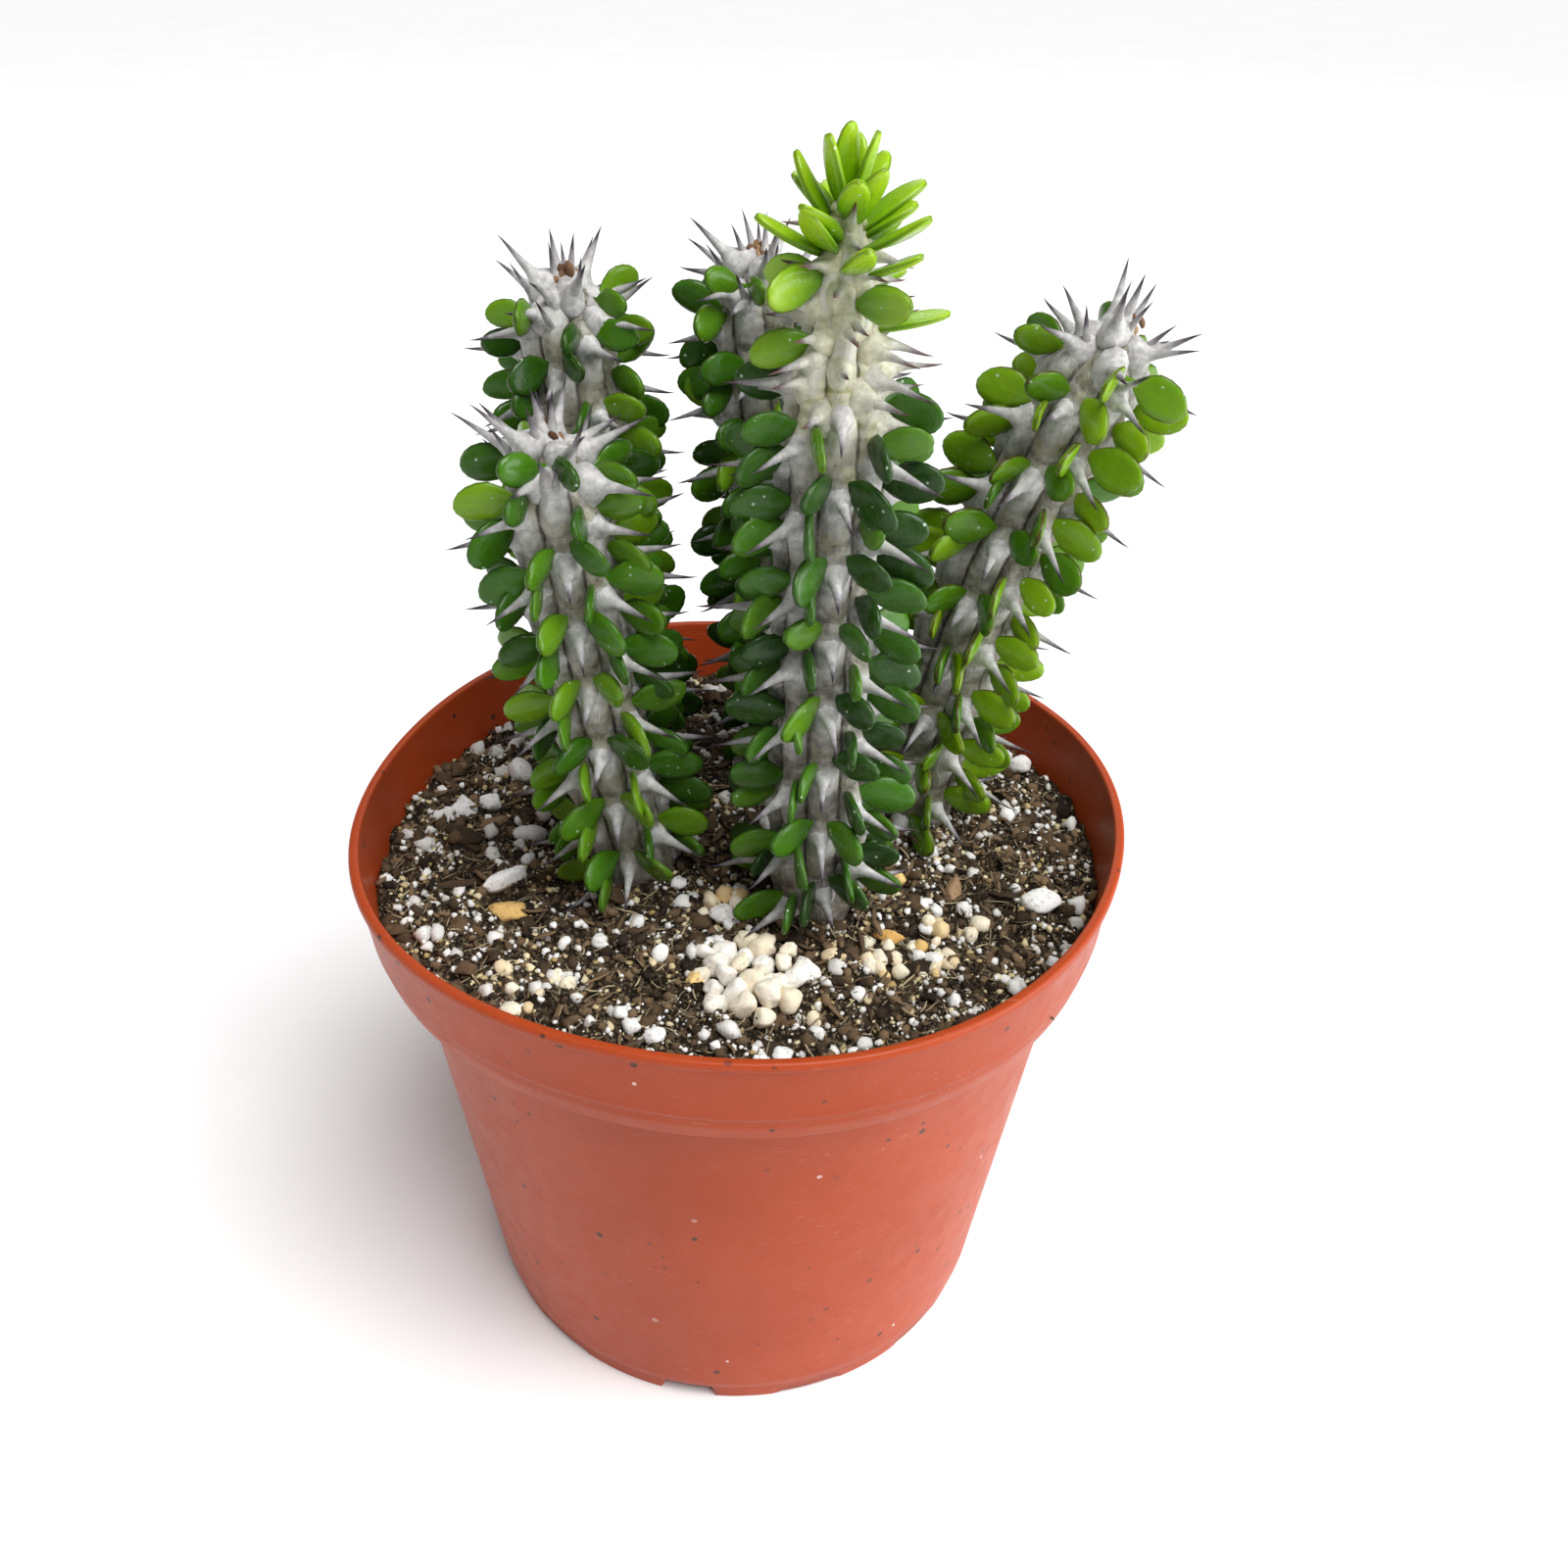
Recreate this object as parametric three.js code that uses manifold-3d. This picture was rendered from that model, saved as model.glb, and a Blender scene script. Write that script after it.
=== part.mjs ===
// A potted Madagascar ocotillo: five thorny, leafy cuttings in gritty soil in a thin plastic grower's pot.
// Millimetres, +Z up. The origin is on the ground, at the centre of the pot's foot. -Y is the plant's front.

import * as THREE from "three";
import { mergeVertices } from "three/addons/utils/BufferGeometryUtils.js";
import Module from "manifold-3d";

const wasm = await Module();
wasm.setup();

// Driving dimensions

const pot = {
  height: 117,
  lipRadius: 76,
  lipHeight: 2,
  bandHeight: 21,
  bandBottomRadius: 72.4,
  bodyTopRadius: 67.5,
  bodyBottomRadius: 55.6,
  footRadius: 54.4,
  footHeight: 4.2,
  footWidth: 2.6,
  wall: 1.2,
  sides: 40,
};
const drain = { count: 4, firstDeg: -100, width: 10, reach: 9, height: 5.8 };
const scallop = { offsetsDeg: [27, 57], width: 13, height: 1 };
// Soft plastic isn't quite round at the rim: waves round the circle, their height in mm and where they peak.
const rimWaves = [
  { waves: 3, amount: 0.5, peakDeg: 2 },
  { waves: 4, amount: 1.1, peakDeg: 27.5 },
];
const rimWaveStart = 70;

const gap = 0.35;
const soil = { edge: 103.6, mound: 3.2, rings: [68, 58, 47, 35, 20], depth: 26 };
const pile = { x: 2.5, y: -42.5, radius: 13, stones: 12, stoneRadius: 3.7, height: 2.6, sunk: 2.4 };
const grit = { stones: 12, smallest: 1.7, largest: 3.1, stemRoom: 15 };

// Ribs run up a stem, one for each eighth of its girth, and areoles climb them in a 3/8 spiral.
const ribs = 8;
const areole = { rise: 1.62, turnDeg: 135, first: 8 };
const ribDepth = 0.9;
const bodyStep = 14;
const trunk = { radius: 7.8, plainTo: 4, fullAt: 12 };
const spine = { length: 11.5, radius: 1.7, sunk: 2.5, tiltDeg: 3, crownTiltDeg: 55, crownReach: 12 };
// The crown of a stem has smaller leaves that stand up, and none on its last few millimetres.
const leaf = { length: 8.8, width: 7, thickness: 1.7, sunk: 2.6, spreadDeg: 38, above: 3.4 };
const crownLeaf = { tiltDeg: 24, tipRoom: 4.5 };
const freshLeaf = { length: 14, width: 4.8, thickness: 1.7, tiltDeg: 12, crownTiltDeg: 55 };
// A tuft of thorns, or of fresh leaves, stands round each tip. Its pieces turn by the golden angle.
const tuft = { turnDeg: 137.5, thorns: 8, leaves: 13, drop: 8, topTiltDeg: 80 };
const tuftTiltDeg = { thorn: 42, leaf: 15 };
// Nothing reaches further out to the side than this.
const reachLimit = 77.5;
const leafOutline = [
  [0.38, 0.42],
  [0.78, 0.43],
];

// Each stem: where it leaves the soil, where its tip is, how far its middle is bowed aside, and its girth.
// A fresh stem narrows to a soft shoot. The shoot's lower part keeps few leaves and its top has long new ones.
const stems = [
  { name: "centre", base: [14.6, -20.9], tip: [15, -21, 235], bow: -0.6, radius: 8.3, phaseDeg: -85, fresh: true },
  { name: "front_left", base: [-19.4, -12], tip: [-31.4, -17, 196.5], bow: -0.9, radius: 8, phaseDeg: -85 },
  { name: "right", base: [35.7, 9], tip: [62.7, 2, 209.5], bow: -5.2, radius: 8.2, phaseDeg: -70 },
  { name: "back_left", base: [-24.5, 26], tip: [-33.4, 35, 207], bow: -1, radius: 8.8, phaseDeg: -100 },
  { name: "back", base: [13, 28], tip: [2.7, 37, 210.5], bow: 0, radius: 8.8, phaseDeg: -110 },
];
const shoot = { from: 92, to: 118, radius: 3.6, tipRadius: 2.2, thornShare: 0.7 };
const shootLeaves = { bareFrom: 98, keptShare: 0.3, freshFrom: 116 };

const finish = {
  plastic: { color: 0xb4553c, roughness: 0.45 },
  soil: { color: 0x3b2c22, roughness: 1 },
  pumice: { color: 0xded5c2, roughness: 0.95 },
  plant: { color: 0x4b8026, roughness: 0.55 },
};

// Small helpers

const radians = THREE.MathUtils.degToRad;
const smooth = (x, low, high) => THREE.MathUtils.smoothstep(x, low, high);
const mix = THREE.MathUtils.lerp;

// A number from 0 to 1 that is always the same for the same three whole numbers.
function draw(a, b, c) {
  const value = Math.sin(a * 12.9898 + b * 78.233 + c * 37.719) * 43758.5453;
  return value - Math.floor(value);
}

// A closed geometry as a solid that can be joined and cut.
function solidOf(geometry) {
  const bare = geometry.clone();
  bare.deleteAttribute("normal");
  bare.deleteAttribute("uv");
  const merged = mergeVertices(bare, 1e-4);
  const index = merged.index.array;
  const kept = [];
  for (let i = 0; i < index.length; i += 3) {
    const [a, b, c] = [index[i], index[i + 1], index[i + 2]];
    if (a !== b && b !== c && c !== a) kept.push(a, b, c);
  }
  const made = new wasm.Mesh({
    numProp: 3,
    vertProperties: merged.attributes.position.array,
    triVerts: new Uint32Array(kept),
  });
  return new wasm.Manifold(made);
}

function geometryOf(solid) {
  const made = solid.getMesh();
  const geometry = new THREE.BufferGeometry();
  geometry.setAttribute("position", new THREE.BufferAttribute(new Float32Array(made.vertProperties), 3));
  geometry.setIndex([...made.triVerts]);
  geometry.computeVertexNormals();
  return geometry;
}

function meshOf(name, solid, look) {
  const material = new THREE.MeshStandardMaterial({ ...look, metalness: 0, flatShading: true });
  const mesh = new THREE.Mesh(geometryOf(wholeBody(solid)), material);
  mesh.name = name;
  return mesh;
}

function geometryFrom(points, triangles) {
  const geometry = new THREE.BufferGeometry();
  geometry.setAttribute("position", new THREE.Float32BufferAttribute(points.flat(), 3));
  geometry.setIndex(triangles.flat());
  return geometry;
}

function union(solids) {
  return wasm.Manifold.union(solids);
}

// The one outer body of a solid: a sealed hollow is filled and a loose scrap is dropped.
function wholeBody(solid) {
  const pieces = solid.decompose();
  return pieces.reduce((best, piece) => (piece.volume() > best.volume() ? piece : best));
}

// The pot

// How far the plastic stands out of true at a height and an angle round the pot.
function outOfRound(angle, z) {
  const share = smooth(z, rimWaveStart, pot.height);
  const waves = rimWaves.map((w) => w.amount * Math.cos(w.waves * (angle - radians(w.peakDeg))));
  return share * waves.reduce((sum, w) => sum + w, 0);
}

// Turns a profile of [radius, height] points, which starts and ends on the axis, round the waved circle.
function turned(profile, sides) {
  const points = profile.map(([r, z]) => new THREE.Vector2(r, z));
  const geometry = new THREE.LatheGeometry(points, sides).rotateX(Math.PI / 2);
  const position = geometry.attributes.position;
  for (let i = 0; i < position.count; i++) {
    const [x, y, z] = [position.getX(i), position.getY(i), position.getZ(i)];
    const radius = Math.hypot(x, y);
    if (radius < 1) continue;
    const angle = Math.atan2(y, x);
    const grown = (radius + outOfRound(angle, z) * smooth(radius, 0, pot.bodyBottomRadius)) / radius;
    position.setXY(i, x * grown, y * grown);
  }
  return geometry;
}

const bandBottom = pot.height - pot.bandHeight;
const floorTop = pot.footHeight + pot.wall;

function potProfile() {
  const { wall, lipRadius, lipHeight, height } = pot;
  const footInner = pot.footRadius - pot.footWidth;
  const bandTopRadius = lipRadius - 0.7;
  return [
    [0, pot.footHeight],
    [footInner, pot.footHeight],
    [footInner, 0],
    [pot.footRadius, 0],
    [pot.footRadius + 0.4, pot.footHeight],
    [pot.bodyBottomRadius, pot.footHeight + 0.8],
    [pot.bodyTopRadius, bandBottom],
    [pot.bandBottomRadius, bandBottom],
    [pot.bandBottomRadius + 1, bandBottom + 4],
    [bandTopRadius, height - lipHeight],
    [lipRadius, height - lipHeight + 0.3],
    [lipRadius, height - 0.5],
    [lipRadius - 0.5, height],
    [bandTopRadius - wall, height],
    [bandTopRadius - wall - 0.2, height - lipHeight],
    [pot.bandBottomRadius - wall, bandBottom + wall],
    [pot.bodyTopRadius - wall, bandBottom],
    [pot.bodyBottomRadius - wall, floorTop],
    [0, floorTop],
  ];
}

// A box that cuts up into the foot from below, at an angle round the pot.
function footCut(deg, width, height, reach) {
  const long = reach + 4;
  const middle = pot.footRadius + 2 - long / 2 + 2;
  const box = new THREE.BoxGeometry(long, width, height + 2);
  box.translate(middle, 0, height / 2 - 1);
  return solidOf(box.rotateZ(radians(deg)));
}

function makePot() {
  const cuts = [];
  for (let i = 0; i < drain.count; i++) {
    const deg = drain.firstDeg + (360 / drain.count) * i;
    cuts.push(footCut(deg, drain.width, drain.height, drain.reach));
    for (const offset of scallop.offsetsDeg) {
      cuts.push(footCut(deg + offset, scallop.width, scallop.height, pot.footWidth + 2));
    }
  }
  return solidOf(turned(potProfile(), pot.sides)).subtract(union(cuts));
}

// The soil

function soilHeight(x, y) {
  const share = 1 - (x * x + y * y) / (pot.lipRadius * pot.lipRadius);
  const lumps = 0.9 * Math.sin(x * 0.21 + 1.3) * Math.cos(y * 0.24);
  const crumbs = 0.6 * Math.sin(x * 0.53 + y * 0.41) + 0.5 * Math.cos(y * 0.61 - x * 0.33);
  return soil.edge + soil.mound * share + lumps + crumbs;
}

function soilProfile() {
  const inner = (radius) => radius - pot.wall - gap;
  return [
    [0, floorTop + gap],
    [inner(pot.bodyBottomRadius), floorTop + gap],
    [inner(pot.bodyTopRadius), bandBottom + gap],
    [inner(pot.bandBottomRadius), bandBottom + pot.wall + gap],
    [inner(pot.bandBottomRadius) + 0.9, soil.edge],
    ...soil.rings.map((radius) => [radius, soil.edge]),
    [0, soil.edge],
  ];
}

// A rough lump of stone: a flattened, turned icosahedron with each corner drawn in or out a little.
function stone(atX, atY, atZ, radius, seed) {
  const bare = new THREE.IcosahedronGeometry(radius, 0).deleteAttribute("normal").deleteAttribute("uv");
  const geometry = mergeVertices(bare);
  const position = geometry.attributes.position;
  for (let i = 0; i < position.count; i++) {
    const scale = mix(0.82, 1.12, draw(seed, i, 5));
    const [x, y, z] = [position.getX(i), position.getY(i), position.getZ(i)];
    position.setXYZ(i, x * scale * 1.12, y * scale, z * scale * 0.8);
  }
  return solidOf(geometry.rotateZ(2 * Math.PI * draw(seed, 3, 6)).translate(atX, atY, atZ));
}

// Grit sits half sunk in the soil, away from the stems and from the pile.
function gritStones() {
  const placed = [];
  for (let i = 0; placed.length < grit.stones; i++) {
    const angle = 2 * Math.PI * draw(i, 1, 11);
    const reach = 65 * Math.sqrt(draw(i, 2, 11));
    const [x, y] = [reach * Math.cos(angle), reach * Math.sin(angle)];
    const nearStem = stems.some((s) => Math.hypot(x - s.base[0], y - s.base[1]) < grit.stemRoom);
    const nearPile = Math.hypot(x - pile.x, y - pile.y) < pile.radius + 5;
    if (nearStem || nearPile) continue;
    const radius = mix(grit.smallest, grit.largest, draw(i, 3, 11));
    placed.push(stone(x, y, soilHeight(x, y) + radius * 0.1, radius, i));
  }
  return placed;
}

function diskAt(x, y, low, high, radius) {
  const disk = new THREE.CylinderGeometry(radius, radius, high - low, 20).rotateX(Math.PI / 2);
  return solidOf(disk.translate(x, y, (low + high) / 2));
}

const pileFloor = soilHeight(pile.x, pile.y) - pile.sunk;

// The heap of pumice lies in a shallow dish in the soil.
function makePile() {
  const stones = [diskAt(pile.x, pile.y, pileFloor, pileFloor + 1.6, pile.radius - 1.5)];
  for (let i = 0; i < pile.stones; i++) {
    const share = Math.sqrt((i + 0.5) / pile.stones);
    const angle = i * 2.4;
    const reach = share * (pile.radius - 3);
    const radius = pile.stoneRadius * mix(0.8, 1.1, draw(i, 4, 12));
    const z = pileFloor + 2 + pile.height * (1 - share * share);
    stones.push(stone(pile.x + reach * Math.cos(angle), pile.y + reach * Math.sin(angle), z, radius, i + 100));
  }
  return union(stones).intersect(diskAt(pile.x, pile.y, pileFloor, pileFloor + 20, pile.radius));
}

function makeSoil() {
  const geometry = turned(soilProfile(), pot.sides);
  const position = geometry.attributes.position;
  for (let i = 0; i < position.count; i++) {
    const [x, y, z] = [position.getX(i), position.getY(i), position.getZ(i)];
    if (z > soil.edge - 0.1) position.setZ(i, soilHeight(x, y));
  }
  const holes = stems.map((s) => solidOf(trunkGeometry(s, -soil.depth - gap, trunk.fullAt, gap)));
  const dish = diskAt(pile.x, pile.y, pileFloor - gap, pileFloor + 20, pile.radius + gap);
  return union([solidOf(geometry), ...gritStones()]).subtract(union([...holes, dish]));
}

// The stems

function vector(x, y, z) {
  return new THREE.Vector3(x, y, z);
}

// A point on a stem's bowed line and the directions there, at a distance s up from the soil.
// Below the soil the line is straight.
function along(stem, s) {
  const start = vector(...stem.base, soil.edge + soil.mound);
  const end = vector(...stem.tip);
  const middle = start.clone().lerp(end, 0.5).add(vector(stem.bow * 2, 0, 0));
  const curve = new THREE.QuadraticBezierCurve3(start, middle, end);
  const t = Math.max(0, s / start.distanceTo(end));
  const up = curve.getTangent(t);
  const at = curve.getPoint(t).addScaledVector(up, Math.min(0, s));
  const side = vector(1, 0, 0).addScaledVector(up, -up.x).normalize();
  return { at, up, side, front: up.clone().cross(side) };
}

function stemLength(stem) {
  return vector(...stem.base, soil.edge + soil.mound).distanceTo(vector(...stem.tip));
}

// The radius of a stem's ribs, from its plain foot to its rounded tip.
function stemRadius(stem, s) {
  const foot = mix(trunk.radius, stem.radius, smooth(s, trunk.plainTo, trunk.fullAt));
  const left = stemLength(stem) - s;
  if (!stem.fresh) return foot * mix(0.45, 1, smooth(left, -2, 9));
  const soft = mix(shoot.radius, shoot.tipRadius, smooth(s, shoot.to - 6, stemLength(stem)));
  return mix(foot, soft, smooth(s, shoot.from, shoot.to));
}

// A closed skin round a stem's line, with a rib and a groove for each eighth.
function skin(stem, stations, radiusAt) {
  const sides = ribs * 2;
  const points = [];
  const triangles = [];
  for (const s of stations) {
    const { at, side, front } = along(stem, s);
    for (let i = 0; i < sides; i++) {
      const angle = radians(stem.phaseDeg) + (Math.PI / ribs) * i;
      const radius = radiusAt(s, i);
      const p = at.clone().addScaledVector(side, radius * Math.cos(angle));
      points.push(p.addScaledVector(front, radius * Math.sin(angle)).toArray());
    }
  }
  const rings = stations.length;
  for (let ring = 0; ring + 1 < rings; ring++) {
    for (let i = 0; i < sides; i++) {
      const a = ring * sides + i;
      const b = ring * sides + ((i + 1) % sides);
      triangles.push([a, b, b + sides], [a, b + sides, a + sides]);
    }
  }
  const ends = [along(stem, stations[0]).at, along(stem, stations[rings - 1]).at];
  points.push(ends[0].toArray(), ends[1].toArray());
  const [low, high, last] = [points.length - 2, points.length - 1, (rings - 1) * sides];
  for (let i = 0; i < sides; i++) {
    const next = (i + 1) % sides;
    triangles.push([low, next, i], [high, last + i, last + next]);
  }
  return geometryFrom(points, triangles);
}

// The plain round foot of a stem, as wide as asked.
function trunkGeometry(stem, from, to, grown) {
  return skin(stem, [from, 0, trunk.plainTo, to], () => trunk.radius + grown);
}

function bodyGeometry(stem) {
  const length = stemLength(stem);
  const stations = [-soil.depth, 0, trunk.plainTo];
  for (let s = trunk.fullAt; s < length - 5; s += bodyStep) stations.push(s);
  stations.push(length - 3, length);
  return skin(stem, stations, (s, i) => {
    const groove = i % 2 ? ribDepth * smooth(s, trunk.plainTo, trunk.fullAt) : 0;
    return stemRadius(stem, s) - groove;
  });
}

// A thick oval blade from its root to its tip: two fans on one outline. Its width lies along a given direction.
function blade(root, direction, across, length, width, thickness) {
  const normal = direction.clone().cross(across).normalize();
  const wide = normal.clone().cross(direction).normalize();
  const place = (u, v, w) =>
    root.clone().addScaledVector(direction, u).addScaledVector(wide, v).addScaledVector(normal, w).toArray();
  const right = leafOutline.map(([u, v]) => place(u * length, v * width, 0));
  const left = leafOutline.map(([u, v]) => place(u * length, -v * width, 0)).reverse();
  const rim = [place(0, 0, 0), ...right, place(length, 0, 0), ...left];
  const [over, under] = [rim.length, rim.length + 1];
  const points = [...rim, place(length * 0.55, 0, thickness / 2), place(length * 0.55, 0, -thickness / 2)];
  const triangles = [];
  for (let i = 0; i < rim.length; i++) {
    const next = (i + 1) % rim.length;
    triangles.push([next, i, over], [i, next, under]);
  }
  return solidOf(geometryFrom(points, triangles));
}

// A three-sided thorn from a sunk base to its point.
function thorn(root, direction, length, radius) {
  const cone = new THREE.ConeGeometry(radius, length, 3).translate(0, length / 2, 0);
  const turn = new THREE.Quaternion().setFromUnitVectors(vector(0, 1, 0), direction);
  return solidOf(cone.applyQuaternion(turn).translate(...root.toArray()));
}

// The areoles of a stem, lowest first, each with its place, the way out from it and the way up the stem.
function areolesOf(stem) {
  const length = stemLength(stem);
  const found = [];
  for (let n = 0; areole.first + n * areole.rise < length - 0.5; n++) {
    const s = areole.first + n * areole.rise;
    const angle = radians(stem.phaseDeg + n * areole.turnDeg + 6 * (draw(n, stem.base[0], 1) - 0.5));
    const { at, up, side, front } = along(stem, s);
    const out = side.clone().multiplyScalar(Math.cos(angle)).addScaledVector(front, Math.sin(angle));
    found.push({ n, s, left: length - s, at, up, out });
  }
  return found;
}

// Every second areole of a rib is built, staggered from each rib to the next.
const built = (n) => Math.floor(n / ribs) % 2 === (n % ribs) % 2;

// The way out of an areole, leaned up the stem and turned round it.
function leaned(place, tiltDeg, turnDeg) {
  const out = place.out.clone().applyAxisAngle(place.up, radians(turnDeg));
  const tilt = radians(tiltDeg);
  return out.multiplyScalar(Math.cos(tilt)).addScaledVector(place.up, Math.sin(tilt)).normalize();
}

// What grows at one areole, as plain facts: a thorn, and a pair of leaves above it or one long new leaf.
function growthAt(stem, place) {
  const { n, s, left, at, up, out } = place;
  const radius = stemRadius(stem, s);
  const wobble = (k) => draw(n, k, stem.base[0]) - 0.5;
  const crown = 1 - smooth(left, 0, spine.crownReach);
  const young = stem.fresh && s > shootLeaves.freshFrom;
  const youth = stem.fresh ? smooth(s, shootLeaves.bareFrom, shootLeaves.freshFrom) : 0;
  const size = mix(1, shoot.thornShare, youth) * (1 + 0.2 * wobble(2)) * mix(1, 0.85, crown);
  const pieces = [
    {
      kind: "thorn",
      root: at.clone().addScaledVector(out, radius - spine.sunk),
      direction: leaned(place, mix(spine.tiltDeg, spine.crownTiltDeg, crown) + 10 * wobble(3), 12 * wobble(4)),
      length: spine.length * size + spine.sunk,
      width: spine.radius * 2,
    },
  ];
  if (young) {
    const rise = 1 - smooth(left, 2, 20);
    const tilt = mix(freshLeaf.tiltDeg, freshLeaf.crownTiltDeg, rise) + 8 * wobble(5);
    pieces.push({
      kind: "leaf",
      root: at.clone().addScaledVector(out, radius - leaf.sunk * 0.6).addScaledVector(up, leaf.above * 0.5),
      direction: leaned(place, tilt, 10 * wobble(6)),
      across: up.clone().cross(out),
      length: freshLeaf.length * (1 + 0.2 * wobble(7)) * mix(1, 0.8, rise),
      width: freshLeaf.width,
      thickness: freshLeaf.thickness,
    });
  } else if (stem.fresh || left > crownLeaf.tipRoom) {
    for (const hand of [-1, 1]) {
      if (youth > 0 && draw(n, 20 + hand, stem.base[0]) > shootLeaves.keptShare) continue;
      const share = 1 + 0.3 * wobble(8 + hand);
      const tilt = mix(-4, crownLeaf.tiltDeg, crown) + 22 * wobble(12 + hand);
      const turn = hand * leaf.spreadDeg + 16 * wobble(15 + hand);
      pieces.push({
        kind: "leaf",
        root: at.clone().addScaledVector(out, radius - leaf.sunk).addScaledVector(up, leaf.above),
        direction: leaned(place, tilt, turn),
        across: up,
        length: (leaf.length * share + leaf.sunk) * mix(1, 0.75, crown),
        width: leaf.width * share * mix(1, 0.8, crown),
        thickness: leaf.thickness,
      });
    }
  }
  return pieces;
}

// The thorns or fresh leaves of the tuft at a stem's tip.
function tuftPieces(stem) {
  const length = stemLength(stem);
  const count = stem.fresh ? tuft.leaves : tuft.thorns;
  const pieces = [];
  for (let i = 0; i < count; i++) {
    const share = i / (count - 1);
    const s = length - tuft.drop * (1 - share) - 1;
    const { at, up, side, front } = along(stem, s);
    const angle = radians(stem.phaseDeg + tuft.turnDeg * i);
    const out = side.clone().multiplyScalar(Math.cos(angle)).addScaledVector(front, Math.sin(angle));
    const wobble = (k) => draw(i, k, stem.base[1]) - 0.5;
    const kind = stem.fresh ? "leaf" : "thorn";
    const tilt = mix(tuftTiltDeg[kind], tuft.topTiltDeg, share ** 0.8) + 14 * wobble(1);
    const root = at.clone().addScaledVector(out, stemRadius(stem, s) * 0.4 * (1 - share));
    const direction = leaned({ out, up }, tilt, 16 * wobble(2));
    const sizes = stem.fresh
      ? { ...freshLeaf, length: freshLeaf.length * mix(1.1, 0.9, share) }
      : { length: spine.length * mix(1.25, 1, share), width: spine.radius * 2 };
    pieces.push({ kind, root, direction, across: up.clone().cross(out), ...sizes });
  }
  return pieces;
}

// The shortest distance between two straight pieces, tested at a few points along the first.
function distanceBetween(a, b) {
  const line = new THREE.Line3(b.from, b.to);
  const nearest = vector(0, 0, 0);
  let least = Infinity;
  for (const share of [0.25, 0.5, 0.75, 1]) {
    const point = a.from.clone().lerp(a.to, share);
    line.closestPointToPoint(point, true, nearest);
    least = Math.min(least, point.distanceTo(nearest));
  }
  return least;
}

const reachOf = (piece) => ({
  from: piece.root,
  to: piece.root.clone().addScaledVector(piece.direction, piece.length),
  radius: piece.kind === "leaf" ? piece.width * 0.42 : 0.9,
});

// The stems' own bodies, as straight stretches that nothing of another stem may cross.
function bodyReaches() {
  const found = [];
  for (const stem of stems) {
    const length = stemLength(stem);
    for (let s = 0; s < length; s += 12) {
      const end = Math.min(length, s + 12);
      const radius = stemRadius(stem, s) + 0.6;
      found.push({ stem, from: along(stem, s).at, to: along(stem, end).at, radius });
    }
  }
  return found;
}

function isClear(reach, stem, taken) {
  for (const share of [0.5, 0.75, 1]) {
    const p = reach.from.clone().lerp(reach.to, share);
    const hang = reach.radius > 1 ? Math.sin(Math.PI * Math.min(share, 0.9)) : 1 - share;
    const droop = reach.radius * hang;
    if (Math.hypot(p.x, p.y) > reachLimit - reach.radius / 2) return false;
    if (p.z - droop < soilHeight(p.x, p.y) + 1.4) return false;
    const level = Math.min(p.z, pot.height);
    const wall = pot.bandBottomRadius - pot.wall - 1 + (level - bandBottom) * 0.1;
    if (p.z < pot.height + 2 && Math.hypot(p.x, p.y) > wall - 1) return false;
  }
  return taken.every((other) => {
    if (other.stem === stem) return true;
    return distanceBetween(reach, other) > reach.radius + other.radius + gap;
  });
}

// A piece that would cross the soil, the pot or another stem's growth is turned up or aside, then shortened.
// One that still crosses is left out.
const bends = [
  { up: 0, aside: 0, share: 1 },
  { up: 25, aside: 0, share: 1 },
  { up: 10, aside: 30, share: 1 },
  { up: 10, aside: -30, share: 1 },
  { up: 45, aside: 0, share: 0.85 },
  { up: 20, aside: 0, share: 0.65 },
];

function fitted(piece, place, stem, taken) {
  for (const bend of bends) {
    const direction = piece.direction.clone().applyAxisAngle(place.up, radians(bend.aside));
    const sideways = direction.clone().cross(place.up).normalize();
    direction.applyAxisAngle(sideways, radians(bend.up));
    const tried = { ...piece, direction, length: piece.length * bend.share };
    const reach = reachOf(tried);
    if (isClear(reach, stem, taken)) {
      taken.push({ stem, ...reach });
      return tried;
    }
  }
  return null;
}

function pieceSolid(piece) {
  if (piece.kind === "thorn") return thorn(piece.root, piece.direction, piece.length, piece.width / 2);
  return blade(piece.root, piece.direction, piece.across, piece.length, piece.width, piece.thickness);
}

function makeStems() {
  const taken = bodyReaches();
  return stems.map((stem) => {
    const grown = [solidOf(bodyGeometry(stem))];
    for (const place of areolesOf(stem)) {
      if (!built(place.n)) continue;
      for (const piece of growthAt(stem, place)) {
        const kept = fitted(piece, place, stem, taken);
        if (kept) grown.push(pieceSolid(kept));
      }
    }
    grown.push(...tuftPieces(stem).map(pieceSolid));
    return { stem, solid: union(grown) };
  });
}

// The whole

const plant = new THREE.Group();
plant.add(meshOf("pot", makePot(), finish.plastic));
plant.add(meshOf("soil", makeSoil(), finish.soil));
plant.add(meshOf("pumice_pile", makePile(), finish.pumice));
for (const { stem, solid } of makeStems()) {
  plant.add(meshOf(`leafy_stem_${stem.name}`, solid, finish.plant));
}

export default plant;
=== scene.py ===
"""A potted Madagascar ocotillo: the finished look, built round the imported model.

Lengths are in millimetres in the model's own frame, with the front at -Y. A mesh is made in metres.
"""

import random
from collections import namedtuple
from math import ceil, cos, exp, floor, hypot, pi, radians, sin, sqrt
from types import SimpleNamespace as Named

import bmesh
import bpy
import numpy as np
from mathutils import Matrix, Vector, noise


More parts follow.
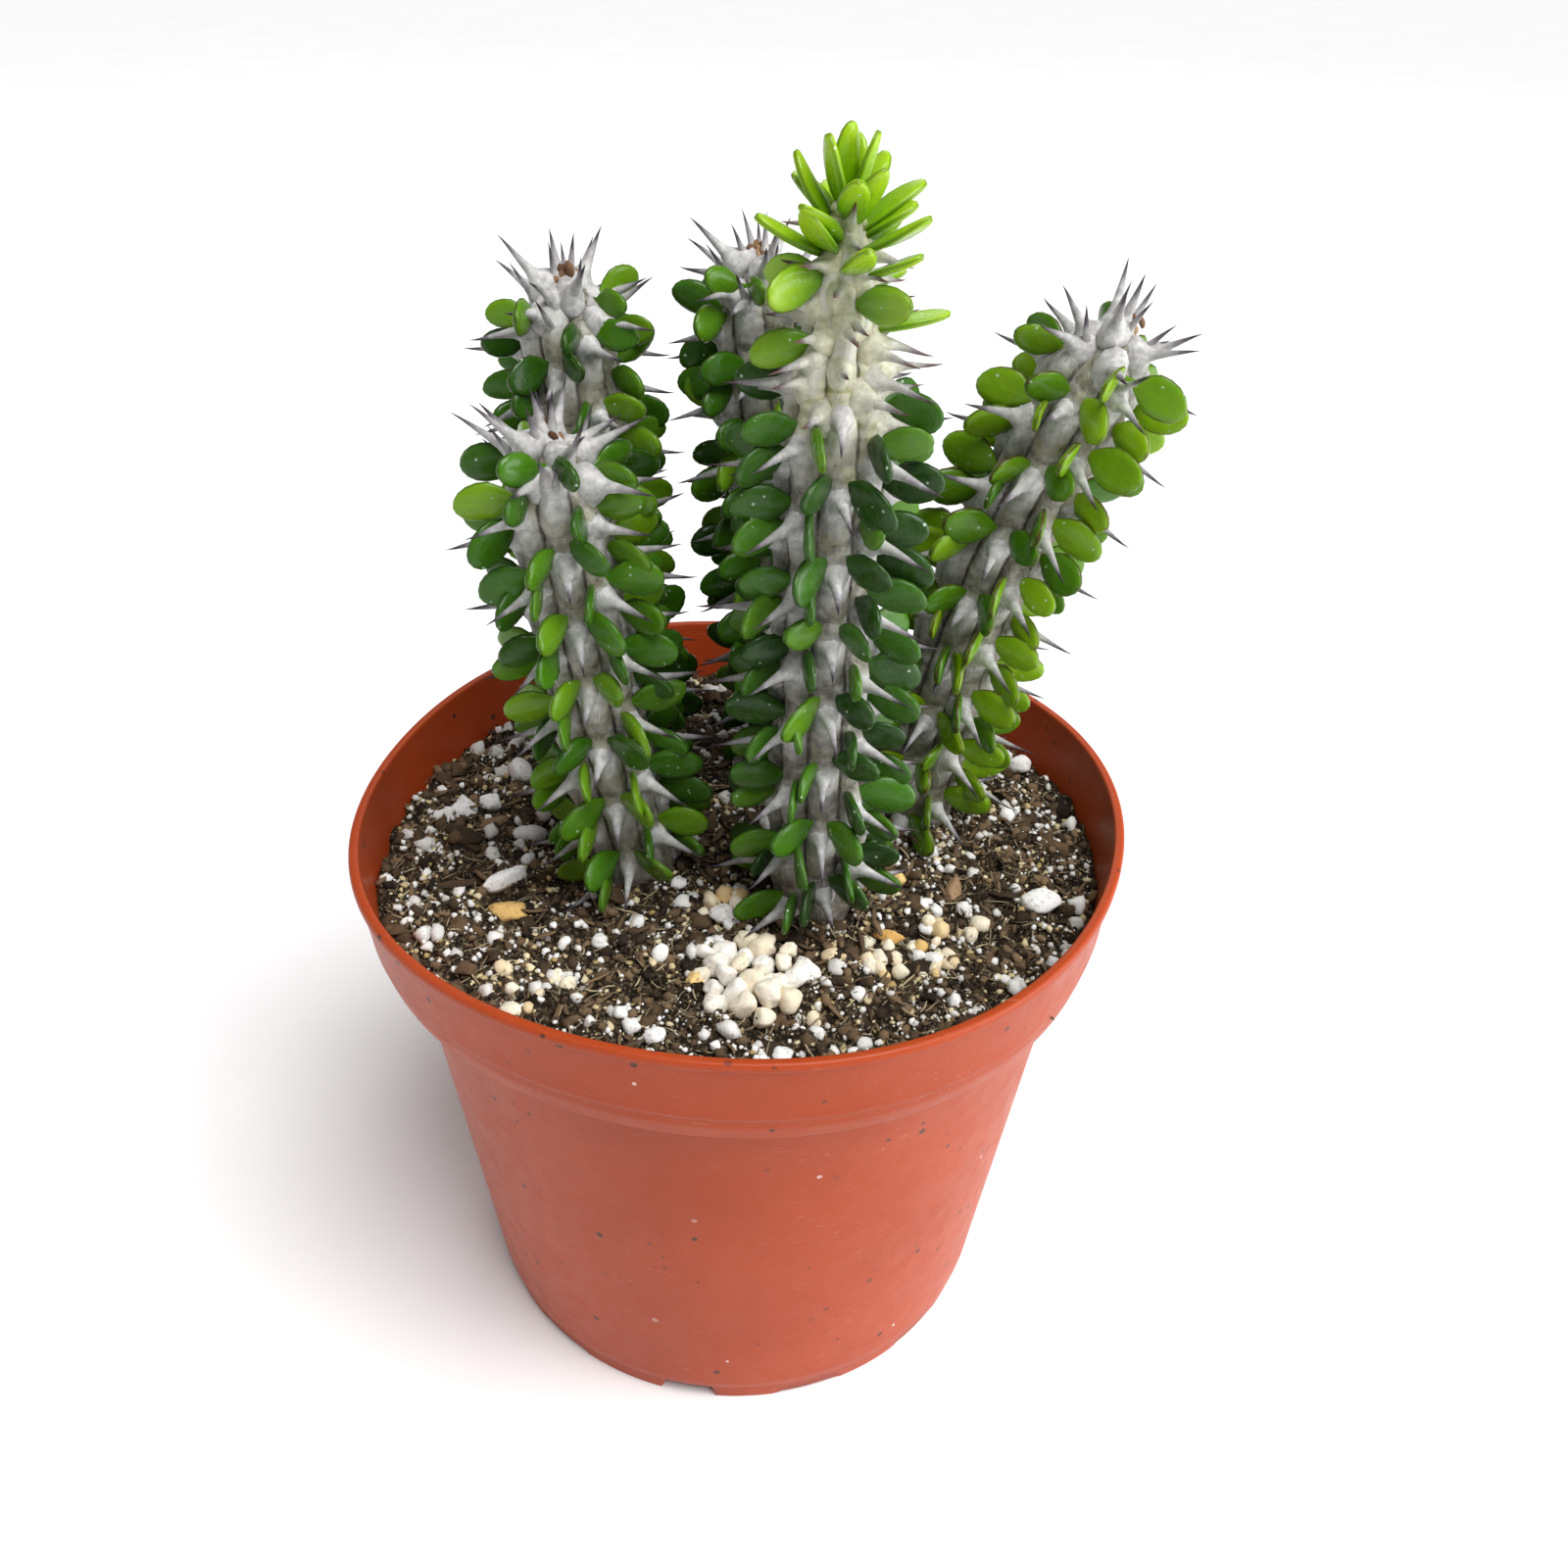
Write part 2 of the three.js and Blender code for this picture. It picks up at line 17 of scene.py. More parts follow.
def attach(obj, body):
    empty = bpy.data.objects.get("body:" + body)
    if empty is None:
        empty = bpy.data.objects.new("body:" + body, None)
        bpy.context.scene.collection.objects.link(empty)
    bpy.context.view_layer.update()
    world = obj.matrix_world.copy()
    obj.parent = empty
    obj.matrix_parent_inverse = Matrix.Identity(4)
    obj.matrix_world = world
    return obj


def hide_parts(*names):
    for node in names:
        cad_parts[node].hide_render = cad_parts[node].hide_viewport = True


MM = 0.001

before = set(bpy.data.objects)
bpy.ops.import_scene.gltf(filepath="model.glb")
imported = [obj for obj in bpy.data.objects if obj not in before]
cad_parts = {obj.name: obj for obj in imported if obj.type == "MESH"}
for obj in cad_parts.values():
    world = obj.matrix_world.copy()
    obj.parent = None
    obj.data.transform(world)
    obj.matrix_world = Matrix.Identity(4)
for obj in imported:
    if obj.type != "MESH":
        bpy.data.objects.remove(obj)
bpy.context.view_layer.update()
scene = bpy.context.scene

# The pot

POT_HEIGHT = 117
LIP_RADIUS = 76
LIP_HEIGHT = 2
BAND_HEIGHT = 21
BAND_BOTTOM = POT_HEIGHT - BAND_HEIGHT
BAND_BOTTOM_RADIUS = 72.4
BAND_TOP_RADIUS = LIP_RADIUS - 0.7
BAND_LINE = BAND_BOTTOM + 6.5
BODY_TOP_RADIUS = 67.5
BODY_BOTTOM_RADIUS = 55.6
FOOT_RADIUS = 54.4
FOOT_HEIGHT = 4.2
FOOT_WIDTH = 2.6
WALL = 1.2
FLOOR_TOP = FOOT_HEIGHT + WALL
CORNER_RADIUS = 0.45
# The foot has this many sets of notches. Each notch has a turn in degrees, a width and a height.
NOTCH_SETS = 4
NOTCH_START = -100
NOTCHES = ((0, 10, FOOT_HEIGHT - 0.2), (27, 13, 1), (57, 13, 1))
# The rim is bent out of round: how many waves, how high, and the first peak's angle in degrees.
RIM_WAVES = ((3, 0.5, 2), (4, 1.1, 27.5))
RIM_WAVE_START = 70
POT_SIDES = 288
# The rings that close the floor, as shares of its edge.
HUB_SHARES = (0.75, 0.5, 0.25, 0.02)

# The soil

SOIL_EDGE = 103.6
SOIL_MOUND = 3.2
SOIL_GAP = 0.35
SOIL_STEP = 0.62
SOIL_SIDES = 360
SOIL_WALL_HEIGHTS = (FLOOR_TOP + SOIL_GAP, 40, 75, BAND_BOTTOM + SOIL_GAP, BAND_BOTTOM + WALL + SOIL_GAP,
                     SOIL_EDGE - 2.5)
SOIL_CENTRE_RADII = [4, 2, 0.3]
# The surface's crumbs, as a height and how close they lie, and the bank round each stem's foot.
CRUMBS = ((1.3, 0.2), (1.1, 0.55), (0.6, 1.3))
BANK = Named(height=3.2, reach=5)
RIM_ROOM = 0.8
# The darkening of the bark's foot: how far above the soil's edge it is measured from, and the height over
# which it fades.
FOOT_DARKNESS = Named(start=2, height=14)
PILE = Named(x=2.5, y=-42.5, radius=13, stones=24, sizes=(1.9, 3.1), rise=1.6)
GOLDEN_TURN = 2.4

# Loose grains over the soil, flattened, roughened and partly sunk. A clump number gathers them in drifts.
Grains = namedtuple("Grains", "name kind count sizes detail sink dirt flat rough clump drift")
LOOSE = (
    Grains("peat_crumbs", "peat_crumb", 3600, (0.4, 1.8), 1, 0.3, 0.2, (1, 0.75, 0.6), 0.8, 0, 1),
    Grains("peat_clods", "peat_clod", 520, (1, 3), 2, 0.5, 0.9, (1, 0.85, 0.6), 1.2, 11, 1.6),
    Grains("perlite_fine", "perlite", 3000, (0.25, 0.95), 1, 0.1, 0.4, (1, 0.85, 0.8), 0.5, 3, 1.6),
    Grains("perlite_coarse", "perlite", 400, (0.8, 2.4), 2, 0.1, 0.6, (1, 0.8, 0.75), 0.6, 5, 1),
    Grains("tan_grit", "tan_grit", 2000, (0.3, 1.15), 1, 0.1, 0.5, (1, 0.8, 0.6), 0.95, 8, 1.6),
)
GRAIN_SHAPES = 9
GRAIN_ROOM = 0.6
# A drift is a patch of this noise, and the bare soil between drifts starts somewhere between two levels.
PATCHES = Named(closeness=0.09, bare=(-0.45, 0.3))
# A stone is cut off on some sides at this share of its radius, and most of what lies beyond is taken away.
FLAT_SIDES = Named(count=5, reach=0.72, taken=0.75)
# Strips of straw and bark that lie on the soil: how many, their lengths and their width.
FIBRES = (("peat_fibres", "straw_fibre", 2600, (1.6, 6), 0.16),
          ("bark_shreds", "peat_crumb", 620, (2.5, 7.5), 0.5))
FIBRE = Named(steps=6, sides=4, room=0.4, climb=0.16, curl=0.5, lift=0.25, widths=(0.5, 1.5),
              heights=(0.3, 0.8))
# Where small pumice stones lie in a drift: the middle, the reach each way and how many.
DRIFTS = ((31, -35, 9, 6, 26), (-2, -24, 6, 4, 10), (3, -42, 16, 12, 16), (40, -26, 6, 5, 8),
          (-38, -44, 8, 6, 7))
# Stones and bark that stand out in the photograph: place on the soil, size along each axis, turn and tone.
Stone = namedtuple("Stone", "name kind at size turn tone")
STONES = (
    Stone("white_stone_right", "perlite", (58.5, -19.2), (3.9, 3.3, 2.9), 20, 1),
    Stone("white_stone_back", "perlite", (61, 29), (2.7, 2.1, 2), 0, 1),
    Stone("white_stone_left", "perlite", (-57.5, 11.5), (3, 2.6, 2.4), 40, 1),
    Stone("cream_stone_left", "perlite", (-52.3, 13), (2.6, 2.4, 2.1), 80, 0.8),
    Stone("lump_by_stem", "perlite", (-47, 24), (2.7, 4.2, 3), 10, 0.95),
    Stone("lump_below_it", "perlite", (-42.5, 2), (3.8, 2.2, 2), -10, 0.9),
    Stone("white_bar", "perlite", (-45, -15), (5.2, 1.7, 1.8), 32, 0.95),
    Stone("cream_stone_a", "perlite", (0, -20.5), (2.3, 2.6, 2.2), 0, 0.75),
    Stone("cream_stone_b", "perlite", (-3, -25.5), (2.3, 2.2, 1.9), 50, 0.85),
    Stone("white_stone_rim", "perlite", (-14, -57.5), (2.2, 1.8, 1.7), 15, 1),
    Stone("white_stone_rim_b", "perlite", (8, -60.5), (2.2, 1.8, 1.7), 60, 1),
    Stone("cream_stone_right", "perlite", (36, -35.3), (2, 1.9, 1.7), 0, 0.7),
    Stone("orange_stone_flat", "orange_pumice", (-43.5, -22.5), (4.3, 2.4, 1.7), 5, 0.6),
    Stone("orange_stone_stem", "orange_pumice", (31.4, -12.5), (1.6, 2.2, 1.9), 0, 0.9),
    Stone("orange_stone_front", "orange_pumice", (28, -31), (2.8, 1.4, 1.3), -20, 0.3),
    Stone("bark_chip", "bark_chip", (42, -15), (1.7, 4.6, 1.3), -12, 0.8),
    Stone("orange_stone_pile", "orange_pumice", (-7.5, -43), (1.7, 2.1, 1.6), 0, 1),
    Stone("dark_stick", "bark_chip", (-54.4, -12.5), (5.4, 0.9, 0.9), 12, 0.1),
    Stone("bark_piece_left", "bark_chip", (-50.5, 6), (3.6, 1.5, 1), 35, 0.5),
)
# The scattered grains keep this share of a stone's size away from its middle.
STONE_ROOM = 0.8

# The stems, with the sizes and the rule that the solids use

RIBS = 8
RIB_DEPTH = 0.9
TRUNK = Named(radius=7.8, plain_to=4, full_at=12, depth=26)
# An old stem's end is rounded from this far below its tip to just above it.
ROUNDED_END = Named(share=0.45, above=-2, below=9)
AREOLE = Named(rise=1.62, turn=135, first=8, sway=6)
# The scene has areoles between the solids' own. Some lie below their lowest, and the top ones point up less.
EXTRA_AREOLES = Named(below=4, crown_room=2, crown_tilt=26, fresh_from=105, fresh_tilt=2)
# A size varies by its vary share, and a tilt and a turn by the degrees of its sway.
SPINE = Named(length=11.5, sunk=2.5, tilt=3, crown_tilt=55, crown_reach=12, crown_share=0.85, vary=0.2,
              sway=(10, 12))
LEAF = Named(length=8.8, width=7, thickness=1.7, sunk=2.6, spread=38, above=3.4, tilt=-4, vary=0.3,
             sway=(22, 16))
CROWN_LEAF = Named(tilt=24, tip_room=4.5, length_share=0.75, width_share=0.8)
FRESH = Named(length=14, width=4.8, thickness=1.7, tilt=10, crown_tilt=42, crown_reach=(2, 20),
              crown_share=0.8, sunk_share=0.6, vary=0.2, sway=(8, 10))
# The tuft at a stem's tip is of leaves or of thorns, whose lengths run from the lowest to the topmost.
TUFT = Named(turn=137.5, drop=8, top_tilt=80, sway=(14, 16), root_share=0.4)
LEAF_TUFT = Named(count=13, tilt=15, rise=1.15, shares=(1.1, 0.9))
THORN_TUFT = Named(count=8, tilt=42, rise=0.8, shares=(1.25, 1))
SHOOT = Named(start=92, end=118, radius=3.6, tip_radius=2.2, thorn_share=0.7, swell=0.8,
              swell_from=(98, 108), swell_to=(118, 128), green=(86, 104))
SHOOT_LEAVES = Named(bare_from=98, kept_share=0.3, fresh_from=116)
# Thorns that only the scene has: crowded on the new shoot, and spread wide round each old crown.
SHOOT_THORNS = Named(count=34, start=97, end=125, length=8, tilt=8, sway=22, tip_share=0.7)
CROWN_THORNS = Named(count=8, drop=6, length=10.5, tilts=(6, 46))
EXTRA_THORN = Named(phase=60, sunk_share=0.7, shares=(0.8, 1.2), sway=20)
# Tone runs from dark to lime, bloom is the dust on a leaf and margin its red-brown edge.
Stem = namedtuple("Stem", "name base tip bow radius phase fresh tone bloom margin")
STEMS = (
    Stem("centre", (14.6, -20.9), (15, -21, 235), -0.6, 8.3, -85, True, 0.3, 0.5, 0),
    Stem("front_left", (-19.4, -12), (-31.4, -17, 196.5), -0.9, 8, -85, False, 0.5, 0.2, 0.1),
    Stem("right", (35.7, 9), (62.7, 2, 209.5), -5.2, 8.2, -70, False, 0.74, 0.05, 0.7),
    Stem("back_left", (-24.5, 26), (-33.4, 35, 207), -1, 8.8, -100, False, 0.4, 0.1, 0.2),
    Stem("back", (13, 28), (2.7, 37, 210.5), 0, 8.8, -110, False, 0.4, 0.1, 0.2),
)

# Room for the growth: how far out it may reach, how far it stays off the soil, and the bends that it tries.
REACH_LIMIT = 77.5
BUILT_OVER_SOIL = 1.4
EXTRA_OVER_SOIL = -0.6
THORN_REACH = 0.9
LEAF_REACH_SHARE = 0.42
BODY_REACH_STEP = 12
BODY_REACH_ROOM = 0.6
# Degrees up and aside, and the share of the length that is kept.
BENDS = ((0, 0, 1), (25, 0, 1), (10, 30, 1), (10, -30, 1), (45, 0, 0.85), (20, 0, 0.65))

# A leaf's blade: its bare foot, where it is widest, and how it bends, cups and sags

LEAF_RINGS = 11
LEAF_SIDES = 12
OLD_BLADE = Named(bare=0.2, bulge=1.05, bend=0.3, cup=1, sag=0.22)
NEW_BLADE = Named(bare=0.05, bulge=1.15, bend=0.25, cup=2.2, sag=0)
BURNT_SHARE = 0.035
LEAF_DRAWS = 41

# A thorn: how far along it, and its radius there as a share of the foot's

THORN_SIDES = 10
THORN_FOOT = 2.6
THORN_FOOT_SHARES = (0.88, 1.12)
YOUNG_FOOT_SHARE = 0.9
THORN_SHAPE = ((0, 1), (0.12, 1), (0.2, 0.82), (0.28, 0.56), (0.37, 0.4), (0.5, 0.29), (0.64, 0.205),
               (0.78, 0.13), (0.9, 0.065), (1, 0.012))
THORN_HOOK = (0.02, 0.16)
THORN_DRAWS = 51

# The bark swells round each thorn's foot, is cracked across above it and has a groove between two ribs

BARK_SIDES = 104
BARK_STEP = 0.75
BARK_FOOT = [-TRUNK.depth + 1, -14, -6]
BARK_TOP = Named(rise=0.72, radius_share=0.45)
BARK_YOUTH = 0.12
SWELL = Named(height=1.3, most=1.15, above=2.4, below=5.2, width=2.5)
CRACK = Named(depth=0.5, rise=5, height=0.7, width=3.2, sway=1.1)
GROOVE = Named(power=2.2, share=1.1, split=0.55, split_width=0.1)
# Noise over the bark: its height, and how close it lies round and along the stem.
WAVES = (0.35, 2.2, 0.16)
ROUGHNESS = (0.16, 9, 0.5)
BUDS = Named(count=9, heights=(0.4, 3.2), sizes=(1.2, 2.1), reach=0.55, spread=0.7)

# Colours, as linear red, green and blue

PLASTIC = Named(
    body=((0.355, 0.046, 0.008), (0.405, 0.056, 0.012)),
    worn=(0.48, 0.09, 0.035),
    scratch=(0.62, 0.27, 0.19),
    dark_speck=(0.09, 0.03, 0.02),
    pale_speck=(0.85, 0.72, 0.66),
)
BARK = Named(
    grey=((0.075, 0.07, 0.058), (0.18, 0.172, 0.15), (0.38, 0.372, 0.34)),
    olive=((0.26, 0.26, 0.13), (0.52, 0.5, 0.38)),
    pale=((0.33, 0.325, 0.32), (0.66, 0.66, 0.65)),
    young=((0.35, 0.35, 0.1), (0.56, 0.54, 0.24), (0.68, 0.66, 0.4)),
    young_skin=(0.5, 0.49, 0.41),
    young_swelling=(0.62, 0.62, 0.54),
    # The groove colour is painted shade for the bottoms of the grooves and cracks.
    groove=(0.018, 0.013, 0.008),
    fissure=(0.07, 0.055, 0.035),
    soiled=(0.07, 0.045, 0.025),
)
THORN = Named(
    grey=((0.32, 0.312, 0.305), (0.54, 0.532, 0.52), (0.74, 0.735, 0.73)),
    young=((0.4, 0.4, 0.2), (0.66, 0.65, 0.42)),
    upper=(0.17, 0.15, 0.175),
    tip=(0.028, 0.018, 0.026),
    young_tip=(0.16, 0.045, 0.035),
)
GREEN = Named(
    old=((0.01, 0.044, 0.002), (0.046, 0.155, 0.003), (0.2, 0.37, 0.006)),
    new=((0.09, 0.22, 0.002), (0.18, 0.38, 0.003), (0.31, 0.51, 0.012)),
    dust=(0.17, 0.25, 0.14),
    rim=(0.015, 0.045, 0.004),
    # The rim colour is painted shade along the leaf's rounded rim.
    margin=(0.075, 0.02, 0.012),
    speck=(0.62, 0.7, 0.6),
    burnt=(0.16, 0.06, 0.02),
    under_skin=(0.4, 1, 0.1),
)
VEIN_GAIN = (1.9, 1.7, 1.6)
PEAT = ((0.005, 0.003, 0.002), (0.022, 0.014, 0.008), (0.1, 0.068, 0.038))
CHAFF = (0.36, 0.29, 0.19)
DIRT = (0.1, 0.065, 0.035)
# Painted shade for the pits of pumice.
PIT_SHADE = (0.22, 0.16, 0.1)
# Loose grains: the two colours that a grain lies between, its roughness, its bumps' size and the strength of
# the painted shade in its pits.
GRAINS = {
    "perlite": ((0.62, 0.6, 0.56), (0.92, 0.91, 0.89), 0.9, 0.5, 0),
    "tan_grit": ((0.4, 0.28, 0.1), (0.84, 0.74, 0.48), 0.9, 0.5, 0),
    "peat_crumb": ((0.014, 0.009, 0.006), (0.22, 0.145, 0.08), 0.95, 0.4, 0),
    "peat_clod": ((0.012, 0.008, 0.005), (0.12, 0.075, 0.04), 0.95, 0.9, 0),
    "straw_fibre": ((0.07, 0.045, 0.022), (0.52, 0.43, 0.27), 0.85, 0.3, 0),
    "orange_pumice": ((0.58, 0.3, 0.07), (0.85, 0.6, 0.24), 0.9, 0.5, 0.3),
    "bark_chip": ((0.045, 0.028, 0.018), (0.4, 0.25, 0.14), 0.9, 0.4, 0),
    "stray_pumice": ((0.72, 0.46, 0.14), (0.9, 0.84, 0.68), 0.9, 0.5, 0.35),
    "pumice_stone": ((0.82, 0.72, 0.54), (0.92, 0.9, 0.85), 0.9, 0.5, 0.35),
    "dried_bud": ((0.09, 0.036, 0.018), (0.36, 0.22, 0.12), 0.85, 0.3, 0),
}

# The studio, with the lamps' places and sizes in metres

FLOOR_SIZE = 12000
FLOOR_GREYS = (0.9, 0.92)
LAMP_AIM = (0, 0, 0.13)
LAMPS = (("right_side", (1, -0.25, 0.4), 0.8, 9), ("left_side", (-1.1, 0.1, 0.45), 0.6, 1.2),
         ("rim", (0.1, 1.1, 0.95), 0.7, 2))
OVERHEAD = Named(way=(-0.3, 0.38, -1), power=3.2, angle=38)
WORLD_LIGHT = 0.2

# The camera, as it stood for the photograph

CAMERA = Named(
    eye=(0, -254, 289.6),
    look=(0, 0.8275, -0.5615),
    roll=0.57,
    lens=35.39,
    sensor=36,
    shift=(0.02875, 0.008),
)


def make_camera():
    data = bpy.data.cameras.new("camera")
    camera = bpy.data.objects.new("camera", data)
    scene.collection.objects.link(camera)
    camera.location = Vector(CAMERA.eye) * MM
    aim = Vector(CAMERA.look).to_track_quat("-Z", "Y")
    roll = Matrix.Rotation(radians(CAMERA.roll), 3, "Z").to_quaternion()
    camera.rotation_mode = "QUATERNION"
    camera.rotation_quaternion = aim @ roll
    data.sensor_width = CAMERA.sensor
    data.lens = CAMERA.lens
    data.shift_x, data.shift_y = CAMERA.shift
    data.clip_start = 0.01
    scene.camera = camera


make_camera()

# Numbers


def mix(a, b, share):
    return a + (b - a) * share


def smooth(x, low, high):
    t = min(1.0, max(0.0, (x - low) / (high - low)))
    return t * t * (3 - 2 * t)


def smooth_array(x, low, high):
    t = np.clip((x - low) / (high - low), 0, 1)
    return t * t * (3 - 2 * t)


def draw(a, b, c):
    """A number from 0 to 1 that is always the same for the same three numbers."""
    value = sin(a * 12.9898 + b * 78.233 + c * 37.719) * 43758.5453
    return value - floor(value)


def swing(a, b, c):
    """As draw, but from -0.5 to 0.5."""
    return draw(a, b, c) - 0.5


def around(sides):
    """Angles in equal steps round a ring."""
    return np.arange(sides) * 2 * pi / sides


# Meshes


def mesh_object(name, points, faces, material, attributes=None):
    """A mesh from points in mm and faces with equally many corners, and with the colour attributes given."""
    mesh = bpy.data.meshes.new(name)
    points = np.asarray(points, np.float32) * MM
    faces = np.asarray(faces, np.int32)
    mesh.vertices.add(len(points))
    mesh.vertices.foreach_set("co", points.ravel())
    mesh.loops.add(faces.size)
    mesh.loops.foreach_set("vertex_index", faces.ravel())
    mesh.polygons.add(len(faces))
    mesh.polygons.foreach_set("loop_start", np.arange(0, faces.size, faces.shape[1], dtype=np.int32))
    mesh.update(calc_edges=True)
    mesh.validate()
    mesh.polygons.foreach_set("use_smooth", np.full(len(mesh.polygons), True))
    for key, values in (attributes or {}).items():
        layer = mesh.color_attributes.new(key, "FLOAT_COLOR", "POINT")
        layer.data.foreach_set("color", np.asarray(values, np.float32).ravel())
    mesh.materials.append(material)
    made = bpy.data.objects.new(name, mesh)
    scene.collection.objects.link(made)
    return made


def place(made, slot, *nodes):
    """Puts a finished piece on the one body and hides the solids that it stands for. The slot is not used."""
    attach(made, "root")
    for node in nodes:
        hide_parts(node)


def ring_faces(rings, sides):
    """Quads between rings of points, each ring closed on itself."""
    ring, side = np.meshgrid(np.arange(rings - 1), np.arange(sides), indexing="ij")
    a = ring * sides + side
    b = ring * sides + (side + 1) % sides
    return np.stack([a, b, b + sides, a + sides], axis=-1).reshape(-1, 4)


def ring_points(radius, angle, z):
    return np.stack([radius * np.cos(angle), radius * np.sin(angle), z], axis=-1)


def tube_faces(rings, sides):
    """Quads between rings of points and across both end rings."""
    caps = []
    for first, turned in ((0, True), ((rings - 1) * sides, False)):
        for i in range(sides // 2 - 1):
            quad = [first + i, first + i + 1, first + sides - 2 - i, first + sides - 1 - i]
            caps.append(quad[::-1] if turned else quad)
    return np.vstack([ring_faces(rings, sides), caps])


def columns(count, *values):
    """A colour attribute's rows of four numbers, from arrays or from numbers that all rows share."""
    return np.stack([np.broadcast_to(value, count) for value in values], axis=-1)


class Gathered:
    """Collects many small pieces of one mesh, with their attributes."""

    def __init__(self):
        self.points, self.faces, self.values, self.count = [], [], {}, 0

    def add(self, points, faces, **values):
        self.points.append(points)
        self.faces.append(faces + self.count)
        for key, rows in values.items():
            self.values.setdefault(key, []).append(rows)
        self.count += len(points)

    def make(self, name, material):
        values = {key: np.concatenate(rows) for key, rows in self.values.items()}
        return mesh_object(name, np.concatenate(self.points), np.concatenate(self.faces), material, values)


# Materials


class Nodes:
    """A short way to write a material's nodes."""

    def __init__(self, name):
        self.material = bpy.data.materials.new(name)
        self.material.use_nodes = True
        self.tree = self.material.node_tree
        self.shader = self.tree.nodes["Principled BSDF"]

    def add(self, kind, settings=None, **inputs):
        node = self.tree.nodes.new(kind)
        for key, value in (settings or {}).items():
            setattr(node, key, value)
        for key, value in inputs.items():
            self.put(node.inputs[key], value)
        return node

    def put(self, socket, value):
        if isinstance(value, bpy.types.NodeSocket):
            self.tree.links.new(value, socket)
        else:
            socket.default_value = value

    def object_place(self, stretch=(1, 1, 1)):
        """Object coordinates in millimetres, stretched along each axis."""
        coordinates = self.add("ShaderNodeTexCoord").outputs["Object"]
        scale = [share / MM for share in stretch]
        return self.add("ShaderNodeMapping", Vector=coordinates, Scale=scale).outputs["Vector"]

    def noise(self, vector, size, detail=3, roughness=0.55):
        """Noise whose lumps are about size mm across."""
        settings = {"Scale": 1 / size, "Detail": detail, "Roughness": roughness}
        return self.add("ShaderNodeTexNoise", Vector=vector, **settings).outputs["Fac"]

    def specks(self, vector, closeness):
        """The distance to the nearest of many scattered points, and that point's three random numbers."""
        node = self.add("ShaderNodeTexVoronoi", {"feature": "F1"}, Vector=vector, Scale=closeness)
        return node.outputs["Distance"], self.split(node.outputs["Color"])

    def split(self, colour):
        return self.add("ShaderNodeSeparateColor", Color=colour).outputs

    def ramp(self, value, positions, tones):
        """A ramp through tones at positions from 0 to 1. A plain number as a tone is a grey."""
        node = self.add("ShaderNodeValToRGB", Fac=value)
        band = node.color_ramp
        while len(band.elements) < len(positions):
            band.elements.new(0.5)
        for element, position, tone in zip(band.elements, positions, tones):
            element.position = position
            element.color = (*tone, 1) if isinstance(tone, tuple) else (tone, tone, tone, 1)
        return node.outputs["Color"]

    def blend(self, a, b, factor, mode="MIX"):
        node = self.add("ShaderNodeMix", {"data_type": "RGBA", "blend_type": mode})
        for socket, value in ((node.inputs[0], factor), (node.inputs[6], a), (node.inputs[7], b)):
            self.put(socket, (*value, 1) if isinstance(value, tuple) else value)
        return node.outputs[2]

    def math(self, operation, a, b):
        node = self.add("ShaderNodeMath", {"operation": operation})
        self.put(node.inputs[0], a)
        self.put(node.inputs[1], b)
        return node.outputs[0]

    def plus(self, a, b):
        return self.math("ADD", a, b)

    def times(self, a, b):
        return self.math("MULTIPLY", a, b)

    def swing(self, value, amount):
        """How far a value from 0 to 1 lies from a half, times an amount."""
        return self.times(self.math("SUBTRACT", value, 0.5), amount)

    def attribute(self, name):
        """The four numbers of a colour attribute."""
        node = self.add("ShaderNodeAttribute", {"attribute_name": name})
        return [*self.split(node.outputs["Color"]), node.outputs["Alpha"]]

    def bump(self, height, distance, strength):
        node = self.add("ShaderNodeBump", Height=height, Distance=distance * MM, Strength=strength)
        return node.outputs["Normal"]

    def finish(self, colour, roughness, normal=None, **plain):
        self.put(self.shader.inputs["Base Color"], colour)
        self.put(self.shader.inputs["Roughness"], roughness)
        if normal is not None:
            self.put(self.shader.inputs["Normal"], normal)
        for key, value in plain.items():
            self.shader.inputs[key.replace("_", " ")].default_value = value
        return self.material


def plastic_material():
    n = Nodes("terracotta_plastic")
    at = n.object_place()
    base = n.ramp(n.noise(at, 30), (0.3, 0.7), PLASTIC.body)
    base = n.blend(base, PLASTIC.worn, n.ramp(n.noise(at, 1.2, 2), (0.5, 0.8), (0, 0.2)))
    # Faint rubbed scratches run every way over the plastic.
    lines = []
    for turn in (0.5, 1.5, 2.4):
        turned = {"Rotation": (turn, turn * 0.7, turn * 1.3), "Scale": (0.03, 1.4, 1.4)}
        drawn = n.add("ShaderNodeMapping", Vector=at, **turned).outputs["Vector"]
        lines.append(n.ramp(n.noise(drawn, 1, 2, 0.5), (0.68, 0.74), (0, 1)))
    scratches = n.blend(n.blend(lines[0], lines[1], 1, "ADD"), lines[2], 1, "ADD")
    patchy = n.ramp(n.noise(at, 14, 2), (0.45, 0.65), (0, 0.35))
    base = n.blend(base, PLASTIC.scratch, n.blend(scratches, patchy, 1, "MULTIPLY"))
    # Soil dust lies on the outside as dark specks and a few pale grains.
    distance, chance = n.specks(at, 0.32)
    chosen = n.math("GREATER_THAN", chance[0], 0.55)
    grain = n.times(n.math("LESS_THAN", distance, n.times(chance[1], 0.25)), chosen)
    pale = n.math("GREATER_THAN", chance[2], 0.94)
    zones = n.ramp(n.noise(at, 32, 2), (0.42, 0.54), (0, 1))
    grain_colour = n.blend(PLASTIC.dark_speck, PLASTIC.pale_speck, pale)
    base = n.blend(base, grain_colour, n.blend(grain, zones, 1, "MULTIPLY"))
    rough = n.ramp(n.noise(at, 5), (0.3, 0.7), (0.36, 0.47))
    return n.finish(base, rough, n.bump(n.noise(at, 2.5, 4), 0.05, 0.5), Specular_IOR_Level=0.24)


